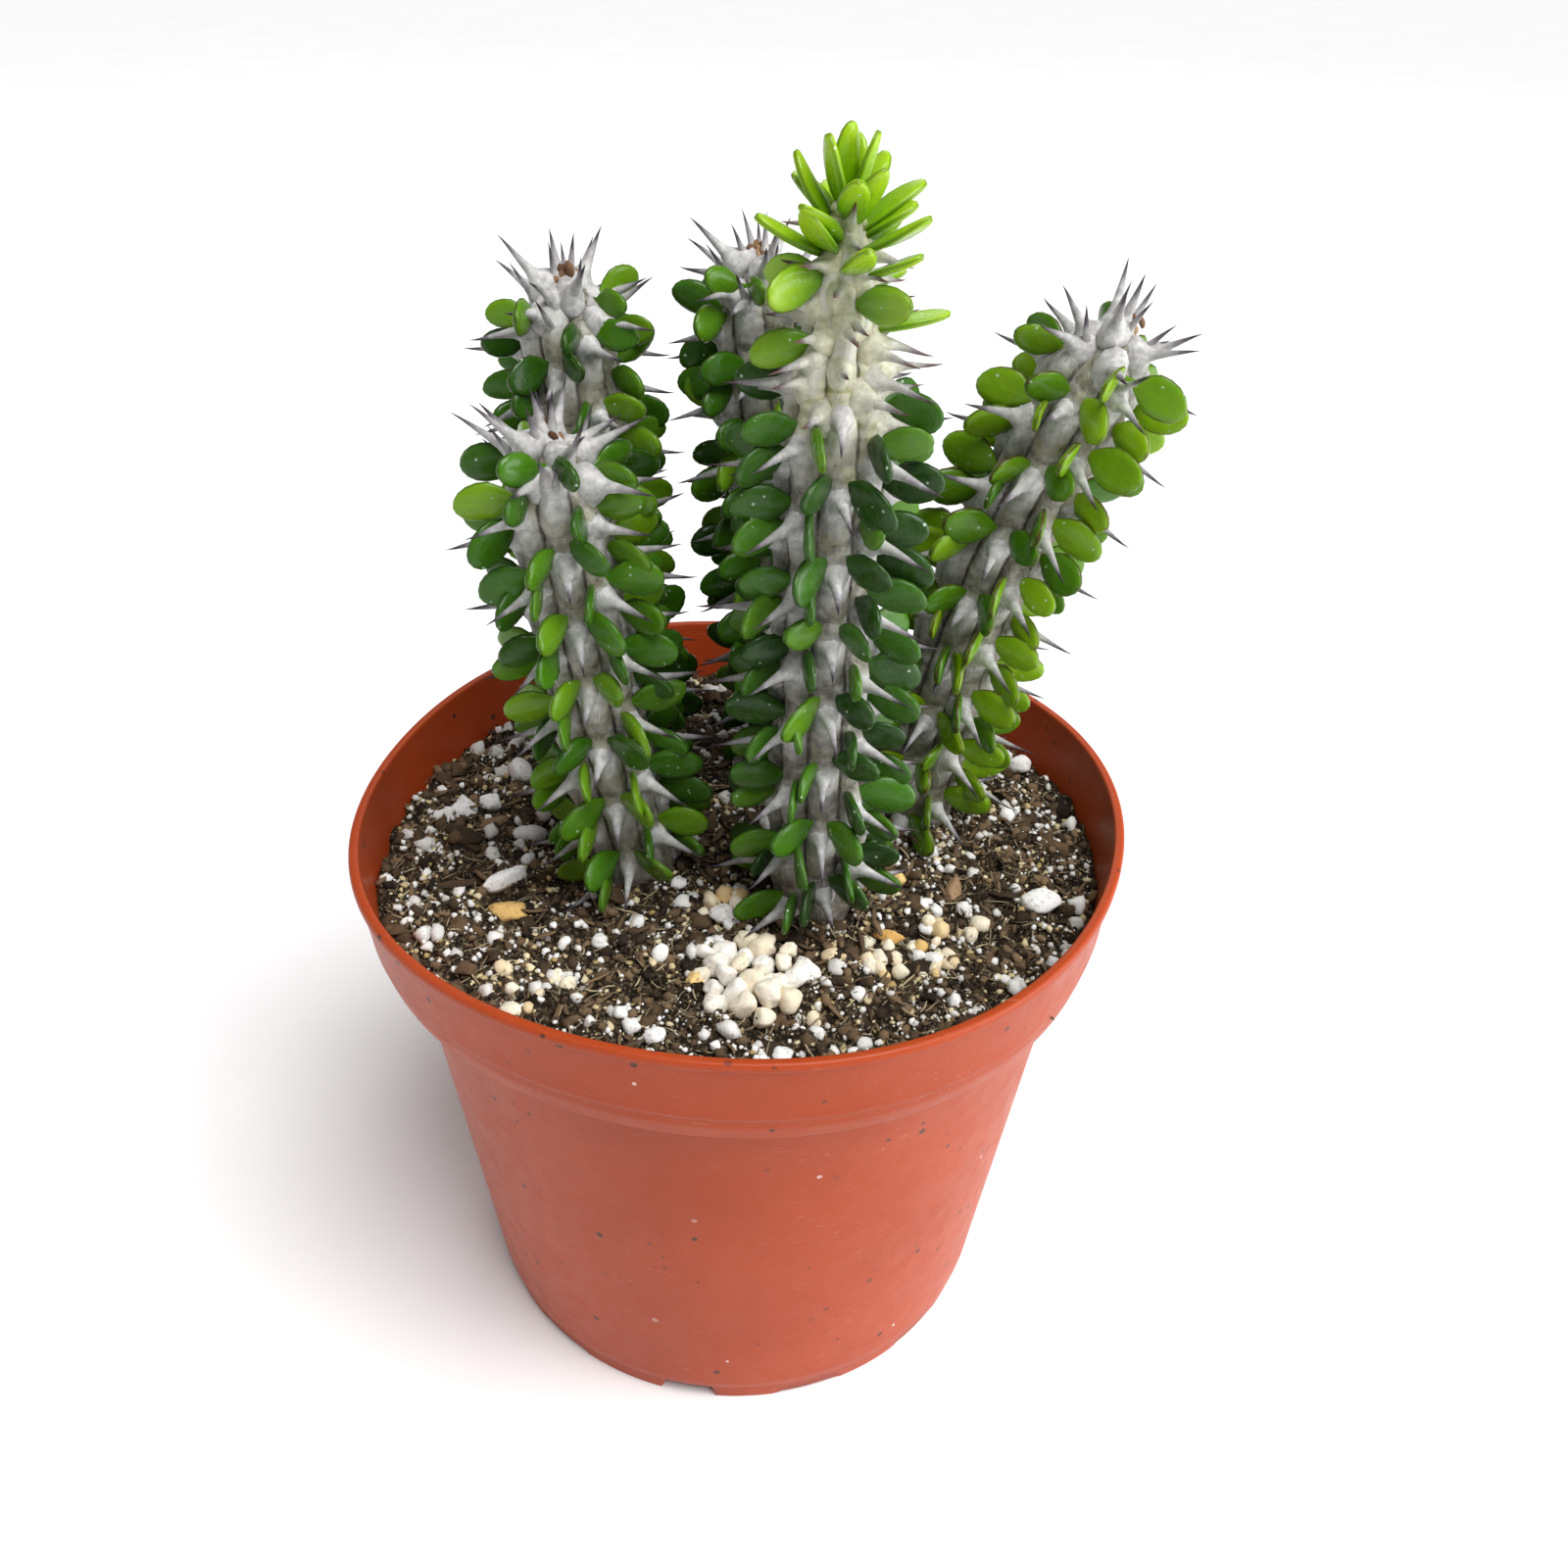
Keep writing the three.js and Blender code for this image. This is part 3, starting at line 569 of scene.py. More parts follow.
def bark_material():
    n = Nodes("ribbed_bark")
    groove, swelling, young = n.attribute("grow")[:3]
    at = n.object_place()
    mottle = n.noise(at, 2.2, 4, 0.6)
    grey = n.ramp(mottle, (0.32, 0.5, 0.68), BARK.grey)
    olive = n.ramp(n.noise(at, 5, 2), (0.42, 0.62), BARK.olive)
    grey = n.blend(grey, olive, n.ramp(n.noise(at, 3.4), (0.45, 0.65), (0, 0.45)))
    pale = n.ramp(n.noise(at, 1.3, 4), (0.3, 0.7), BARK.pale)
    base = n.blend(grey, pale, n.ramp(swelling, (0.15, 0.65), (0, 0.85)))
    # New growth is yellow-green with pale rings.
    bands = {"wave_type": "BANDS", "bands_direction": "Z"}
    rings = n.add("ShaderNodeTexWave", bands, Vector=at, Scale=0.16, Distortion=3, Detail=2).outputs["Fac"]
    fresh = n.ramp(rings, (0.2, 0.55, 0.9), BARK.young)
    fresh = n.blend(fresh, BARK.young_skin, n.ramp(mottle, (0.38, 0.58), (0, 0.8)))
    fresh = n.blend(fresh, BARK.young_swelling, n.ramp(swelling, (0.2, 0.7), (0, 0.8)))
    base = n.blend(base, fresh, n.times(young, 0.85))
    # Painted shade darkens the bottoms of the grooves between the ribs and of the cracks across them, and fine
    # fissures run up the bark.
    cracks = n.noise(n.object_place((1, 1, 0.35)), 1.1, 3, 0.7)
    uneven = n.plus(groove, n.swing(cracks, 0.18))
    base = n.blend(base, BARK.groove, n.ramp(uneven, (0.86, 0.95), (0, 0.92)))
    base = n.blend(base, BARK.fissure, n.times(n.ramp(cracks, (0.3, 0.37), (1, 0)), 0.55))
    # Soil stains the foot.
    # The bark is darker and browner in patches over its lowest part, just above the soil.
    level = n.add("ShaderNodeSeparateXYZ", Vector=at).outputs["Z"]
    rise = n.math("DIVIDE", n.math("SUBTRACT", level, SOIL_EDGE + FOOT_DARKNESS.start), FOOT_DARKNESS.height)
    darkened_foot = n.times(n.ramp(rise, (0.15, 0.8), (0.9, 0)), n.ramp(mottle, (0.35, 0.65), (1, 0.45)))
    base = n.blend(base, BARK.soiled, darkened_foot)
    normal = n.bump(n.plus(n.times(mottle, 0.6), cracks), 0.5, 0.7)
    return n.finish(base, n.ramp(mottle, (0.3, 0.7), (0.78, 0.6)), normal, Specular_IOR_Level=0.35)


def thorn_material():
    n = Nodes("thorn")
    along_it, young = n.attribute("grow")[:2]
    at = n.object_place()
    mottle = n.noise(at, 1.6, 4, 0.6)
    base = n.ramp(mottle, (0.3, 0.55, 0.75), THORN.grey)
    greenish = n.ramp(mottle, (0.3, 0.7), THORN.young)
    base = n.blend(base, greenish, n.times(young, n.ramp(along_it, (0.2, 0.5), (0.9, 0.45))))
    uneven = n.plus(along_it, n.swing(n.noise(at, 2), 0.3))
    base = n.blend(base, THORN.upper, n.ramp(uneven, (0.45, 0.78), (0, 0.88)))
    tip = n.blend(THORN.tip, THORN.young_tip, n.times(young, 0.7))
    base = n.blend(base, tip, n.ramp(uneven, (0.7, 0.88), (0, 1)))
    streak = n.noise(n.object_place((1, 1, 0.5)), 0.7, 3, 0.6)
    rough = n.ramp(mottle, (0.3, 0.7), (0.5, 0.62))
    return n.finish(base, rough, n.bump(streak, 0.16, 0.6), Specular_IOR_Level=0.4)


def leaf_material():
    n = Nodes("leaf")
    along_it, edge, chance, tone = n.attribute("grow")
    bloom, hurt, margin, fresh = n.attribute("state")
    at = n.object_place()
    shade = n.plus(n.plus(tone, n.swing(chance, 0.62)), n.swing(n.noise(at, 4.5, 2), 0.22))
    base = n.ramp(shade, (0.05, 0.45, 0.95), GREEN.old)
    new = n.ramp(n.plus(along_it, n.times(n.noise(at, 3, 2), 0.3)), (0.2, 0.6, 1), GREEN.new)
    base = n.blend(base, new, fresh)
    # A dusty blue-white bloom lies in patches on old leaves.
    dust = n.times(n.ramp(n.noise(at, 1.6, 4, 0.65), (0.35, 0.7), (0, 1)), bloom)
    base = n.blend(base, GREEN.dust, n.times(dust, 0.38))
    # The middle vein shows as a faint paler line, and painted shade darkens the rounded rim to a thin dark
    # outline.
    vein = n.blend(base, VEIN_GAIN, 1, "MULTIPLY")
    base = n.blend(base, vein, n.ramp(edge, (0, 0.1), (0.14, 0)))
    rim = n.ramp(edge, (0.88, 0.96), (0, 1))
    base = n.blend(base, GREEN.rim, n.times(rim, 0.5))
    base = n.blend(base, GREEN.margin, n.times(rim, margin))
    # White mineral specks.
    distance, luck = n.specks(at, 0.55)
    dot = n.times(n.ramp(distance, (0.1, 0.17), (1, 0)), n.math("GREATER_THAN", luck[0], 0.8))
    base = n.blend(base, GREEN.speck, n.times(dot, 0.7))
    # A few leaves are browned in spots, mostly near the tip, with hard edges.
    burnt = n.times(hurt, n.ramp(n.plus(along_it, n.noise(at, 1.5)), (1, 1), (0, 1)))
    base = n.blend(base, GREEN.burnt, burnt)
    rough = n.ramp(n.plus(dust, n.noise(at, 2.5)), (0.3, 1), (0.18, 0.48))
    depth = {"Subsurface_Radius": GREEN.under_skin, "Subsurface_Scale": 1.5 * MM}
    return n.finish(base, rough, n.bump(n.noise(at, 1.8, 4), 0.2, 0.7), Specular_IOR_Level=0.24,
                    Subsurface_Weight=0.06, Coat_Weight=0.14, Coat_Roughness=0.12, **depth)


def soil_material():
    n = Nodes("peat_soil")
    at = n.object_place()
    coarse = n.noise(at, 3, 5, 0.7)
    fine = n.noise(at, 0.8, 4, 0.7)
    base = n.ramp(coarse, (0.3, 0.5, 0.7), PEAT)
    base = n.blend(base, CHAFF, n.ramp(fine, (0.54, 0.66), (0, 0.9)))
    return n.finish(base, 0.95, n.bump(n.plus(coarse, fine), 0.8, 1), Specular_IOR_Level=0.15)


def grain_material(name):
    """Loose grains, each with a tone of its own between two colours, spotted with dirt."""
    low, high, rough, bump_size, pit_shade = GRAINS[name]
    n = Nodes(name)
    tone, dirt = n.attribute("grow")[:2]
    at = n.object_place()
    spots_of_dirt = n.ramp(n.noise(at, 0.9, 4, 0.65), (0.54, 0.68), (0, 1))
    base = n.blend(n.blend(low, high, tone), DIRT, n.times(spots_of_dirt, dirt))
    # Painted shade darkens small round pits, which have no shape of their own.
    if pit_shade:
        shaded_pits = n.ramp(n.specks(at, 2.2)[0], (0.1, 0.3), (1, 0))
        base = n.blend(base, PIT_SHADE, n.times(shaded_pits, pit_shade))
    return n.finish(base, rough, n.bump(n.noise(at, bump_size, 4, 0.7), 0.25, 0.8), Specular_IOR_Level=0.25)


# The pot's mesh


def out_of_round(angle, z):
    share = smooth_array(z, RIM_WAVE_START, POT_HEIGHT)
    waves = sum(height * np.cos(count * (angle - radians(peak))) for count, height, peak in RIM_WAVES)
    return share * waves


def rounded(corners, radius, steps):
    """An open outline with each inner corner rounded by a small arc."""
    points = [corners[0]]
    for before, corner, after in zip(corners, corners[1:], corners[2:]):
        a, b, c = Vector(before), Vector(corner), Vector(after)
        cut = min(radius, (a - b).length * 0.45, (c - b).length * 0.45)
        start = b + (a - b).normalized() * cut
        end = b + (c - b).normalized() * cut
        for i in range(steps + 1):
            t = i / steps
            points.append(tuple(start * (1 - t) ** 2 + b * (2 * t * (1 - t)) + end * t * t))
    points.append(corners[-1])
    return points


def pot_outline():
    """The pot's section: over the foot, up the outside, over the lip and down the inside to the floor."""
    foot_inner = FOOT_RADIUS - FOOT_WIDTH
    line_radius = mix(BAND_BOTTOM_RADIUS + 1, BAND_TOP_RADIUS, 0.18)
    slope = (BODY_TOP_RADIUS - BODY_BOTTOM_RADIUS) / (BAND_BOTTOM - FOOT_HEIGHT)
    corners = [
        (foot_inner - 0.4, FOOT_HEIGHT),
        (foot_inner, FOOT_HEIGHT - 0.4),
        (foot_inner, 0),
        (FOOT_RADIUS, 0),
        (FOOT_RADIUS + 0.4, FOOT_HEIGHT - 0.2),
        (BODY_BOTTOM_RADIUS - 0.1, FOOT_HEIGHT + 0.5),
        (BODY_BOTTOM_RADIUS + 0.35, FOOT_HEIGHT + 2.4),
        (BODY_BOTTOM_RADIUS + 8 * slope, FOOT_HEIGHT + 8),
        (BODY_TOP_RADIUS - 20 * slope, BAND_BOTTOM - 20),
        (BODY_TOP_RADIUS, BAND_BOTTOM - 0.2),
        (BAND_BOTTOM_RADIUS - 0.9, BAND_BOTTOM),
        (BAND_BOTTOM_RADIUS, BAND_BOTTOM + 1),
        (BAND_BOTTOM_RADIUS + 0.9, BAND_BOTTOM + 4),
        (line_radius - 0.25, BAND_LINE - 0.5),
        (line_radius + 0.2, BAND_LINE),
        (line_radius + 0.3, BAND_LINE + 1.5),
        (BAND_TOP_RADIUS, POT_HEIGHT - LIP_HEIGHT),
        (LIP_RADIUS, POT_HEIGHT - LIP_HEIGHT + 0.3),
        (LIP_RADIUS, POT_HEIGHT - 0.5),
        (LIP_RADIUS - 0.5, POT_HEIGHT),
        (BAND_TOP_RADIUS - WALL, POT_HEIGHT),
        (BAND_TOP_RADIUS - WALL - 0.2, POT_HEIGHT - LIP_HEIGHT),
        (BAND_BOTTOM_RADIUS - WALL, BAND_BOTTOM + WALL),
        (BODY_TOP_RADIUS - WALL, BAND_BOTTOM),
        (BODY_BOTTOM_RADIUS - WALL, FLOOR_TOP),
    ]
    return rounded(corners, CORNER_RADIUS, 3)


def notch_height(angle):
    """How far the foot's lower edge is raised at each angle round the pot."""
    turn = 2 * pi / NOTCH_SETS
    found = np.zeros_like(angle)
    for offset, width, height in NOTCHES:
        away = (angle - radians(NOTCH_START + offset) + turn / 2) % turn - turn / 2
        share = 1 - smooth_array(np.abs(away) * FOOT_RADIUS, width / 2 - 0.5, width / 2 + 0.9)
        found = np.maximum(found, share * height)
    return found


def make_pot(material):
    angle = around(POT_SIDES)
    rings = []
    for radius, z in np.array(pot_outline()):
        level = np.full(POT_SIDES, z)
        if z < FOOT_HEIGHT - 0.3:
            level = np.maximum(level, notch_height(angle) * (1 - z / (FOOT_HEIGHT * 4)))
        grown = radius + out_of_round(angle, level) * smooth(radius, 0, BODY_BOTTOM_RADIUS)
        rings.append(ring_points(grown, angle, level))
    faces = [ring_faces(len(rings), POT_SIDES)]
    # The underside and the floor are closed by rings that shrink to a small hub.
    steps = np.arange(POT_SIDES)
    follow = (steps + 1) % POT_SIDES
    for row, z in ((0, FOOT_HEIGHT), (len(rings) - 1, FLOOR_TOP)):
        edge = rings[row]
        outer = row * POT_SIDES
        for share in HUB_SHARES:
            inner = len(rings) * POT_SIDES
            rings.append(np.column_stack([edge[:, :2] * share, np.full(POT_SIDES, z)]))
            quad = [outer + steps, outer + follow, inner + follow, inner + steps]
            faces.append(np.stack(quad if row else quad[::-1], axis=-1))
            outer = inner
    made = mesh_object("nursery_pot", np.concatenate(rings), np.concatenate(faces), material)
    place(made, "pot_plastic", "pot")


# The soil's mesh


def soil_height(x, y):
    """The mounded surface with its low lumps, as the solids have it."""
    share = 1 - (x * x + y * y) / (LIP_RADIUS * LIP_RADIUS)
    lumps = 0.9 * np.sin(x * 0.21 + 1.3) * np.cos(y * 0.24)
    crumbs = 0.6 * np.sin(x * 0.53 + y * 0.41) + 0.5 * np.cos(y * 0.61 - x * 0.33)
    return SOIL_EDGE + SOIL_MOUND * share + lumps + crumbs


def crumbled(x, y):
    """The surface with its fine crumbs, banked up round each stem."""
    spot = Vector((x, y, 0))
    rough = sum(height * noise.noise(spot * closeness) for height, closeness in CRUMBS)
    banked = BANK.height * exp(-((max(0.0, stem_room(x, y)) / BANK.reach) ** 2))
    return float(soil_height(x, y)) + rough + banked


def soil_radius(z):
    """The radius of the pot's inside at a height, less the clearance."""
    heights = [FLOOR_TOP, BAND_BOTTOM, BAND_BOTTOM + WALL, POT_HEIGHT - LIP_HEIGHT]
    radii = [BODY_BOTTOM_RADIUS, BODY_TOP_RADIUS, BAND_BOTTOM_RADIUS, LIP_RADIUS - 0.9]
    return np.interp(z, heights, radii) - WALL - 0.15


SOIL_REACH = float(soil_radius(SOIL_EDGE))


def make_soil(material):
    """Rings up the pot's wall and then over the surface to its middle, with a fan at each end."""
    angle = around(SOIL_SIDES)
    rings = []
    for z in SOIL_WALL_HEIGHTS:
        level = np.full(SOIL_SIDES, float(z))
        rings.append(ring_points(soil_radius(z) + out_of_round(angle, level), angle, level))
    for r in list(np.arange(SOIL_REACH, 6, -SOIL_STEP)) + SOIL_CENTRE_RADII:
        radius = r + out_of_round(angle, np.full(SOIL_SIDES, SOIL_EDGE)) * (r / SOIL_REACH)
        x, y = radius * np.cos(angle), radius * np.sin(angle)
        rings.append(np.stack([x, y, [crumbled(a, b) for a, b in zip(x, y)]], axis=-1))
    points = np.concatenate(rings)
    faces = [ring_faces(len(rings), SOIL_SIDES)]
    steps = np.arange(SOIL_SIDES)
    for row, turned in ((0, True), (len(rings) - 1, False)):
        first = row * SOIL_SIDES
        pair = [first + steps, first + (steps + 1) % SOIL_SIDES]
        centre = np.full(SOIL_SIDES, len(points))
        points = np.vstack([points, rings[row].mean(axis=0)])
        faces.append(np.stack([*(pair[::-1] if turned else pair), centre, centre], axis=-1))
    place(mesh_object("soil_top", points, np.vstack(faces), material), "potting_mix", "soil")


# The grains that lie loose on the soil


def lump(detail, seed, flat=(1, 1, 1), rough=0.25, fine=0.0):
    """A rough stone of about unit radius: an icosphere pushed in and out by noise."""
    shape = bmesh.new()
    bmesh.ops.create_icosphere(shape, subdivisions=detail, radius=1)
    shift = Vector((seed * 3.7, seed * 1.9, seed * 5.3))
    points = []
    for vertex in shape.verts:
        p = vertex.co
        push = 1 + rough * noise.noise(p * 1.1 + shift) + rough * 0.5 * noise.noise(p * 2.4 + shift)
        push += fine * noise.noise(p * 6 + shift)
        # Flattened on a few sides, as a broken grain is.
        for k in range(FLAT_SIDES.count):
            side = Vector((swing(seed, k, 1), swing(seed, k, 2), swing(seed, k, 3))).normalized()
            over = (p * push).dot(side) - FLAT_SIDES.reach
            if over > 0:
                p = p - side * over * FLAT_SIDES.taken / push
        points.append([p.x * push * flat[0], p.y * push * flat[1], p.z * push * flat[2]])
    faces = [[v.index for v in face.verts] for face in shape.faces]
    shape.free()
    return np.array(points), np.array(faces)


def turn_matrix(rng, level=1.0):
    """A random turn; level 0 only turns about the upright."""
    spin = Matrix.Rotation(rng.uniform(0, 2 * pi), 3, "Z")
    tip = Matrix.Rotation(rng.uniform(-1, 1) * pi * level, 3, "X")
    lean = Matrix.Rotation(rng.uniform(-1, 1) * pi * level, 3, "Y")
    return np.array(spin @ tip @ lean)


def stem_room(x, y):
    """How far a spot on the soil is from the nearest stem's foot."""
    return min(hypot(x - stem.base[0], y - stem.base[1]) for stem in STEMS) - TRUNK.radius


def pile_distance(x, y):
    return hypot(x - PILE.x, y - PILE.y)


def is_taken(x, y):
    """Whether the heap or one of the named stones lies at a spot."""
    if pile_distance(x, y) < PILE.radius - 2:
        return True
    return any(hypot(x - s.at[0], y - s.at[1]) < STONE_ROOM * max(s.size[:2]) for s in STONES)


def spots(rng, count, room, clump=0, drift=1.0, anywhere=False):
    """Random places on the soil, clear of the stems and as a rule of the heap and the stones, with heights."""
    found = []
    while len(found) < count:
        angle = rng.uniform(0, 2 * pi)
        radius = (SOIL_REACH - RIM_ROOM) * sqrt(rng.random())
        x, y = radius * cos(angle), radius * sin(angle)
        if stem_room(x, y) < room or (not anywhere and is_taken(x, y)):
            continue
        patch = Vector((x * PATCHES.closeness, y * PATCHES.closeness, clump))
        if clump and noise.noise(patch) * drift < rng.uniform(*PATCHES.bare):
            continue
        found.append((x, y, crumbled(x, y)))
    return found


def grain_values(rng, count, dirt):
    """A grain's tone and dirt, and a third number that is spare."""
    return columns(count, rng.random(), dirt * rng.random(), rng.random(), 1)


def scatter(grains, material, rng):
    """One kind of loose grain. Small ones are the most common."""
    fine = 0.04 if grains.detail > 1 else 0
    seeds = range(grains.count + 1, grains.count + 1 + GRAIN_SHAPES)
    shapes = [lump(grains.detail, seed, grains.flat, grains.rough, fine) for seed in seeds]
    gathered = Gathered()
    for x, y, z in spots(rng, grains.count, GRAIN_ROOM, grains.clump, grains.drift):
        points, faces = rng.choice(shapes)
        size = mix(*grains.sizes, rng.random() ** 2)
        turned = points @ turn_matrix(rng, 0.25).T * size
        level = z + size * (0.35 - grains.sink)
        grow = grain_values(rng, len(points), grains.dirt)
        gathered.add(turned + [x, y, level], faces, grow=grow)
    place(gathered.make(grains.name, material), "potting_mix")


def fibres(name, material, rng, count, lengths, width):
    """Thin bent strips of peat, bark and root, lying on the soil."""
    gathered = Gathered()
    faces = tube_faces(FIBRE.steps, FIBRE.sides)
    for x, y, z in spots(rng, count, FIBRE.room, anywhere=True):
        length = rng.uniform(*lengths)
        heading = rng.uniform(0, 2 * pi)
        climb = rng.gauss(0, FIBRE.climb)
        curl = rng.gauss(0, FIBRE.curl)
        wide = width * rng.uniform(*FIBRE.widths)
        tall = wide * rng.uniform(*FIBRE.heights)
        px, py = x, y
        points = []
        for i in range(FIBRE.steps):
            t = i / (FIBRE.steps - 1)
            bend = heading + curl * (t - 0.5)
            swell = sin(pi * min(0.95, max(0.08, t))) ** 0.5
            across = np.array([-sin(bend), cos(bend), 0]) * wide * swell
            free = z + FIBRE.lift + climb * length * (t - 0.5) + 0.1 * sin(t * 7 + x)
            centre = np.array([px, py, max(free, crumbled(px, py) - tall * 0.3)])
            rise = np.array([0, 0, tall * swell])
            points += [centre - across, centre - rise, centre + across, centre + rise]
            px += cos(bend) * length / FIBRE.steps
            py += sin(bend) * length / FIBRE.steps
        if hypot(px, py) > SOIL_REACH - 0.6 or stem_room(px, py) < FIBRE.room:
            continue
        grow = grain_values(rng, len(points), 0.3)
        gathered.add(np.array(points), faces, grow=grow)
    place(gathered.make(name, material), "potting_mix")


def make_named_stones(grains):
    for i, stone in enumerate(STONES):
        points, faces = lump(3, i + 90, (1, 1, 1), 0.35, 0.05)
        x, y = stone.at
        level = crumbled(x, y) + stone.size[2] * 0.6
        turn = np.array(Matrix.Rotation(radians(stone.turn), 3, "Z"))
        shape = points * stone.size @ turn.T + [x, y, level]
        grow = columns(len(points), stone.tone, 0.5, 0, 1)
        place(mesh_object(stone.name, shape, faces, grains[stone.kind], {"grow": grow}), "pumice")


def strays(rng, material):
    """Small pumice stones in drifts round the heap and beside it, from orange to white."""
    shapes = [lump(2, k + 300, (1, 0.85, 0.8), 0.4, 0.05) for k in range(7)]
    gathered = Gathered()
    for x, y, wide, deep, count in DRIFTS:
        for _ in range(count):
            angle, share = rng.uniform(0, 2 * pi), sqrt(rng.uniform(0.1, 1))
            px, py = x + wide * share * cos(angle), y + deep * share * sin(angle)
            on_pile = pile_distance(px, py) < PILE.radius
            if stem_room(px, py) < 2 or on_pile or hypot(px, py) > SOIL_REACH - 3:
                continue
            size = rng.uniform(1.0, 2.3)
            points, faces = rng.choice(shapes)
            grow = columns(len(points), rng.random() ** 0.5, 0.7 * rng.random(), 0, 1)
            turned = points @ turn_matrix(rng).T * size
            gathered.add(turned + [px, py, crumbled(px, py) + size * 0.35], faces, grow=grow)
    place(gathered.make("stray_pumice", material), "pumice")


def make_ground(grains):
    """The soil and all that lies loose on it."""
    make_soil(soil_material())
    rng = random.Random(7)
    for kind in LOOSE:
        scatter(kind, grains[kind.kind], rng)
    for name, kind, count, lengths, width in FIBRES:
        fibres(name, grains[kind], rng, count, lengths, width)
    make_named_stones(grains)
    strays(rng, grains["stray_pumice"])


def make_pile(material):
    """The heap of pumice in front of the tallest stem."""
    rng = random.Random(21)
    gathered = Gathered()
    for i in range(PILE.stones):
        share = sqrt((i + 0.5) / PILE.stones)
        angle = i * GOLDEN_TURN
        reach = share * (PILE.radius - 2.4)
        x = PILE.x + reach * cos(angle)
        y = PILE.y + reach * sin(angle)
        radius = rng.uniform(*PILE.sizes)
        points, faces = lump(3, i + 40, (1, rng.uniform(0.78, 1), rng.uniform(0.7, 0.95)), 0.4, 0.05)
        heaped = float(soil_height(x, y)) + 0.9 + PILE.rise * (1 - share * share)
        level = heaped + rng.uniform(-0.4, 0.6)
        grow = columns(len(points), rng.random(), 0.6 * rng.random(), 0, 1)
        gathered.add(points @ turn_matrix(rng).T * radius + [x, y, level], faces, grow=grow)
    place(gathered.make("pumice_heap", material), "pumice", "pumice_pile")


# The stems


def stem_start(stem):
    return Vector((*stem.base, SOIL_EDGE + SOIL_MOUND))


def stem_length(stem):
    return (Vector(stem.tip) - stem_start(stem)).length


def along(stem, s):
    """A point on a stem's bowed line and the directions there. Below the soil the line is straight."""
    start, end = stem_start(stem), Vector(stem.tip)
    middle = start.lerp(end, 0.5) + Vector((stem.bow * 2, 0, 0))
    t = max(0.0, s / (end - start).length)
    at = start * (1 - t) ** 2 + middle * (2 * t * (1 - t)) + end * t * t
    up = ((middle - start) * (1 - t) + (end - middle) * t).normalized()
    at = at + up * min(0.0, s)
    side = (Vector((1, 0, 0)) - up * up.x).normalized()
    return at, up, side, up.cross(side)


def outward(stem, s, angle):
    """A point on a stem's line, the way up there and the way out at an angle."""
    at, up, side, front = along(stem, s)
    return at, up, side * cos(angle) + front * sin(angle)


def stem_radius(stem, s):
    foot = mix(TRUNK.radius, stem.radius, smooth(s, TRUNK.plain_to, TRUNK.full_at))
    if not stem.fresh:
        left = stem_length(stem) - s
        return foot * mix(ROUNDED_END.share, 1, smooth(left, ROUNDED_END.above, ROUNDED_END.below))
    soft = mix(SHOOT.radius, SHOOT.tip_radius, smooth(s, SHOOT.end - 6, stem_length(stem)))
    return mix(foot, soft, smooth(s, SHOOT.start, SHOOT.end))


def shoot_swell(stem, s):
    """How much thicker the bark is round the crowded young thorns."""
    if not stem.fresh:
        return 0
    return SHOOT.swell * smooth(s, *SHOOT.swell_from) * (1 - smooth(s, *SHOOT.swell_to))


Areole = namedtuple("Areole", "number s left at up out angle")
Piece = namedtuple("Piece", "kind root direction up length young across width thickness",
                   defaults=(None, 0, 0))
Reach = namedtuple("Reach", "stem start end radius")


def areoles(stem):
    """A stem's areoles, lowest first."""
    length = stem_length(stem)
    found = []
    number = -EXTRA_AREOLES.below
    while AREOLE.first + number * AREOLE.rise < length - 0.5:
        s = AREOLE.first + number * AREOLE.rise
        sway = AREOLE.sway * swing(number, stem.base[0], 1)
        angle = radians(stem.phase + number * AREOLE.turn + sway)
        found.append(Areole(number, s, length - s, *outward(stem, s, angle), angle))
        number += 1
    return found


def built(number):
    """Whether the solids have an areole too."""
    return number >= 0 and (number // RIBS) % 2 == (number % RIBS) % 2


def leaned(out, up, tilt, turn):
    out = Matrix.Rotation(radians(turn), 3, up) @ out
    tilt = radians(tilt)
    return (out * cos(tilt) + up * sin(tilt)).normalized()


def thorn_at(stem, spot, crown, youth, wobble):
    crown_tilt = SPINE.crown_tilt
    if not built(spot.number) and not stem.fresh:
        crown_tilt = EXTRA_AREOLES.crown_tilt
    size = mix(1, SHOOT.thorn_share, youth) * (1 + SPINE.vary * wobble(2))
    size *= mix(1, SPINE.crown_share, crown)
    tilt = mix(SPINE.tilt, crown_tilt, crown) + SPINE.sway[0] * wobble(3)
    root = spot.at + spot.out * (stem_radius(stem, spot.s) + shoot_swell(stem, spot.s) - SPINE.sunk)
    direction = leaned(spot.out, spot.up, tilt, SPINE.sway[1] * wobble(4))
    return Piece("thorn", root, direction, spot.up, SPINE.length * size + SPINE.sunk, youth)


def new_leaf_at(stem, spot, wobble):
    rise = 1 - smooth(spot.left, *FRESH.crown_reach)
    low = FRESH.tilt if built(spot.number) else EXTRA_AREOLES.fresh_tilt
    tilt = mix(low, FRESH.crown_tilt, rise) + FRESH.sway[0] * wobble(5)
    depth = LEAF.sunk * FRESH.sunk_share
    root = spot.at + spot.out * (stem_radius(stem, spot.s) - depth) + spot.up * LEAF.above * 0.5
    length = FRESH.length * (1 + FRESH.vary * wobble(7)) * mix(1, FRESH.crown_share, rise)
    direction = leaned(spot.out, spot.up, tilt, FRESH.sway[1] * wobble(6))
    across = spot.up.cross(spot.out)
    return Piece("leaf", root, direction, spot.up, length, 1, across, FRESH.width, FRESH.thickness)


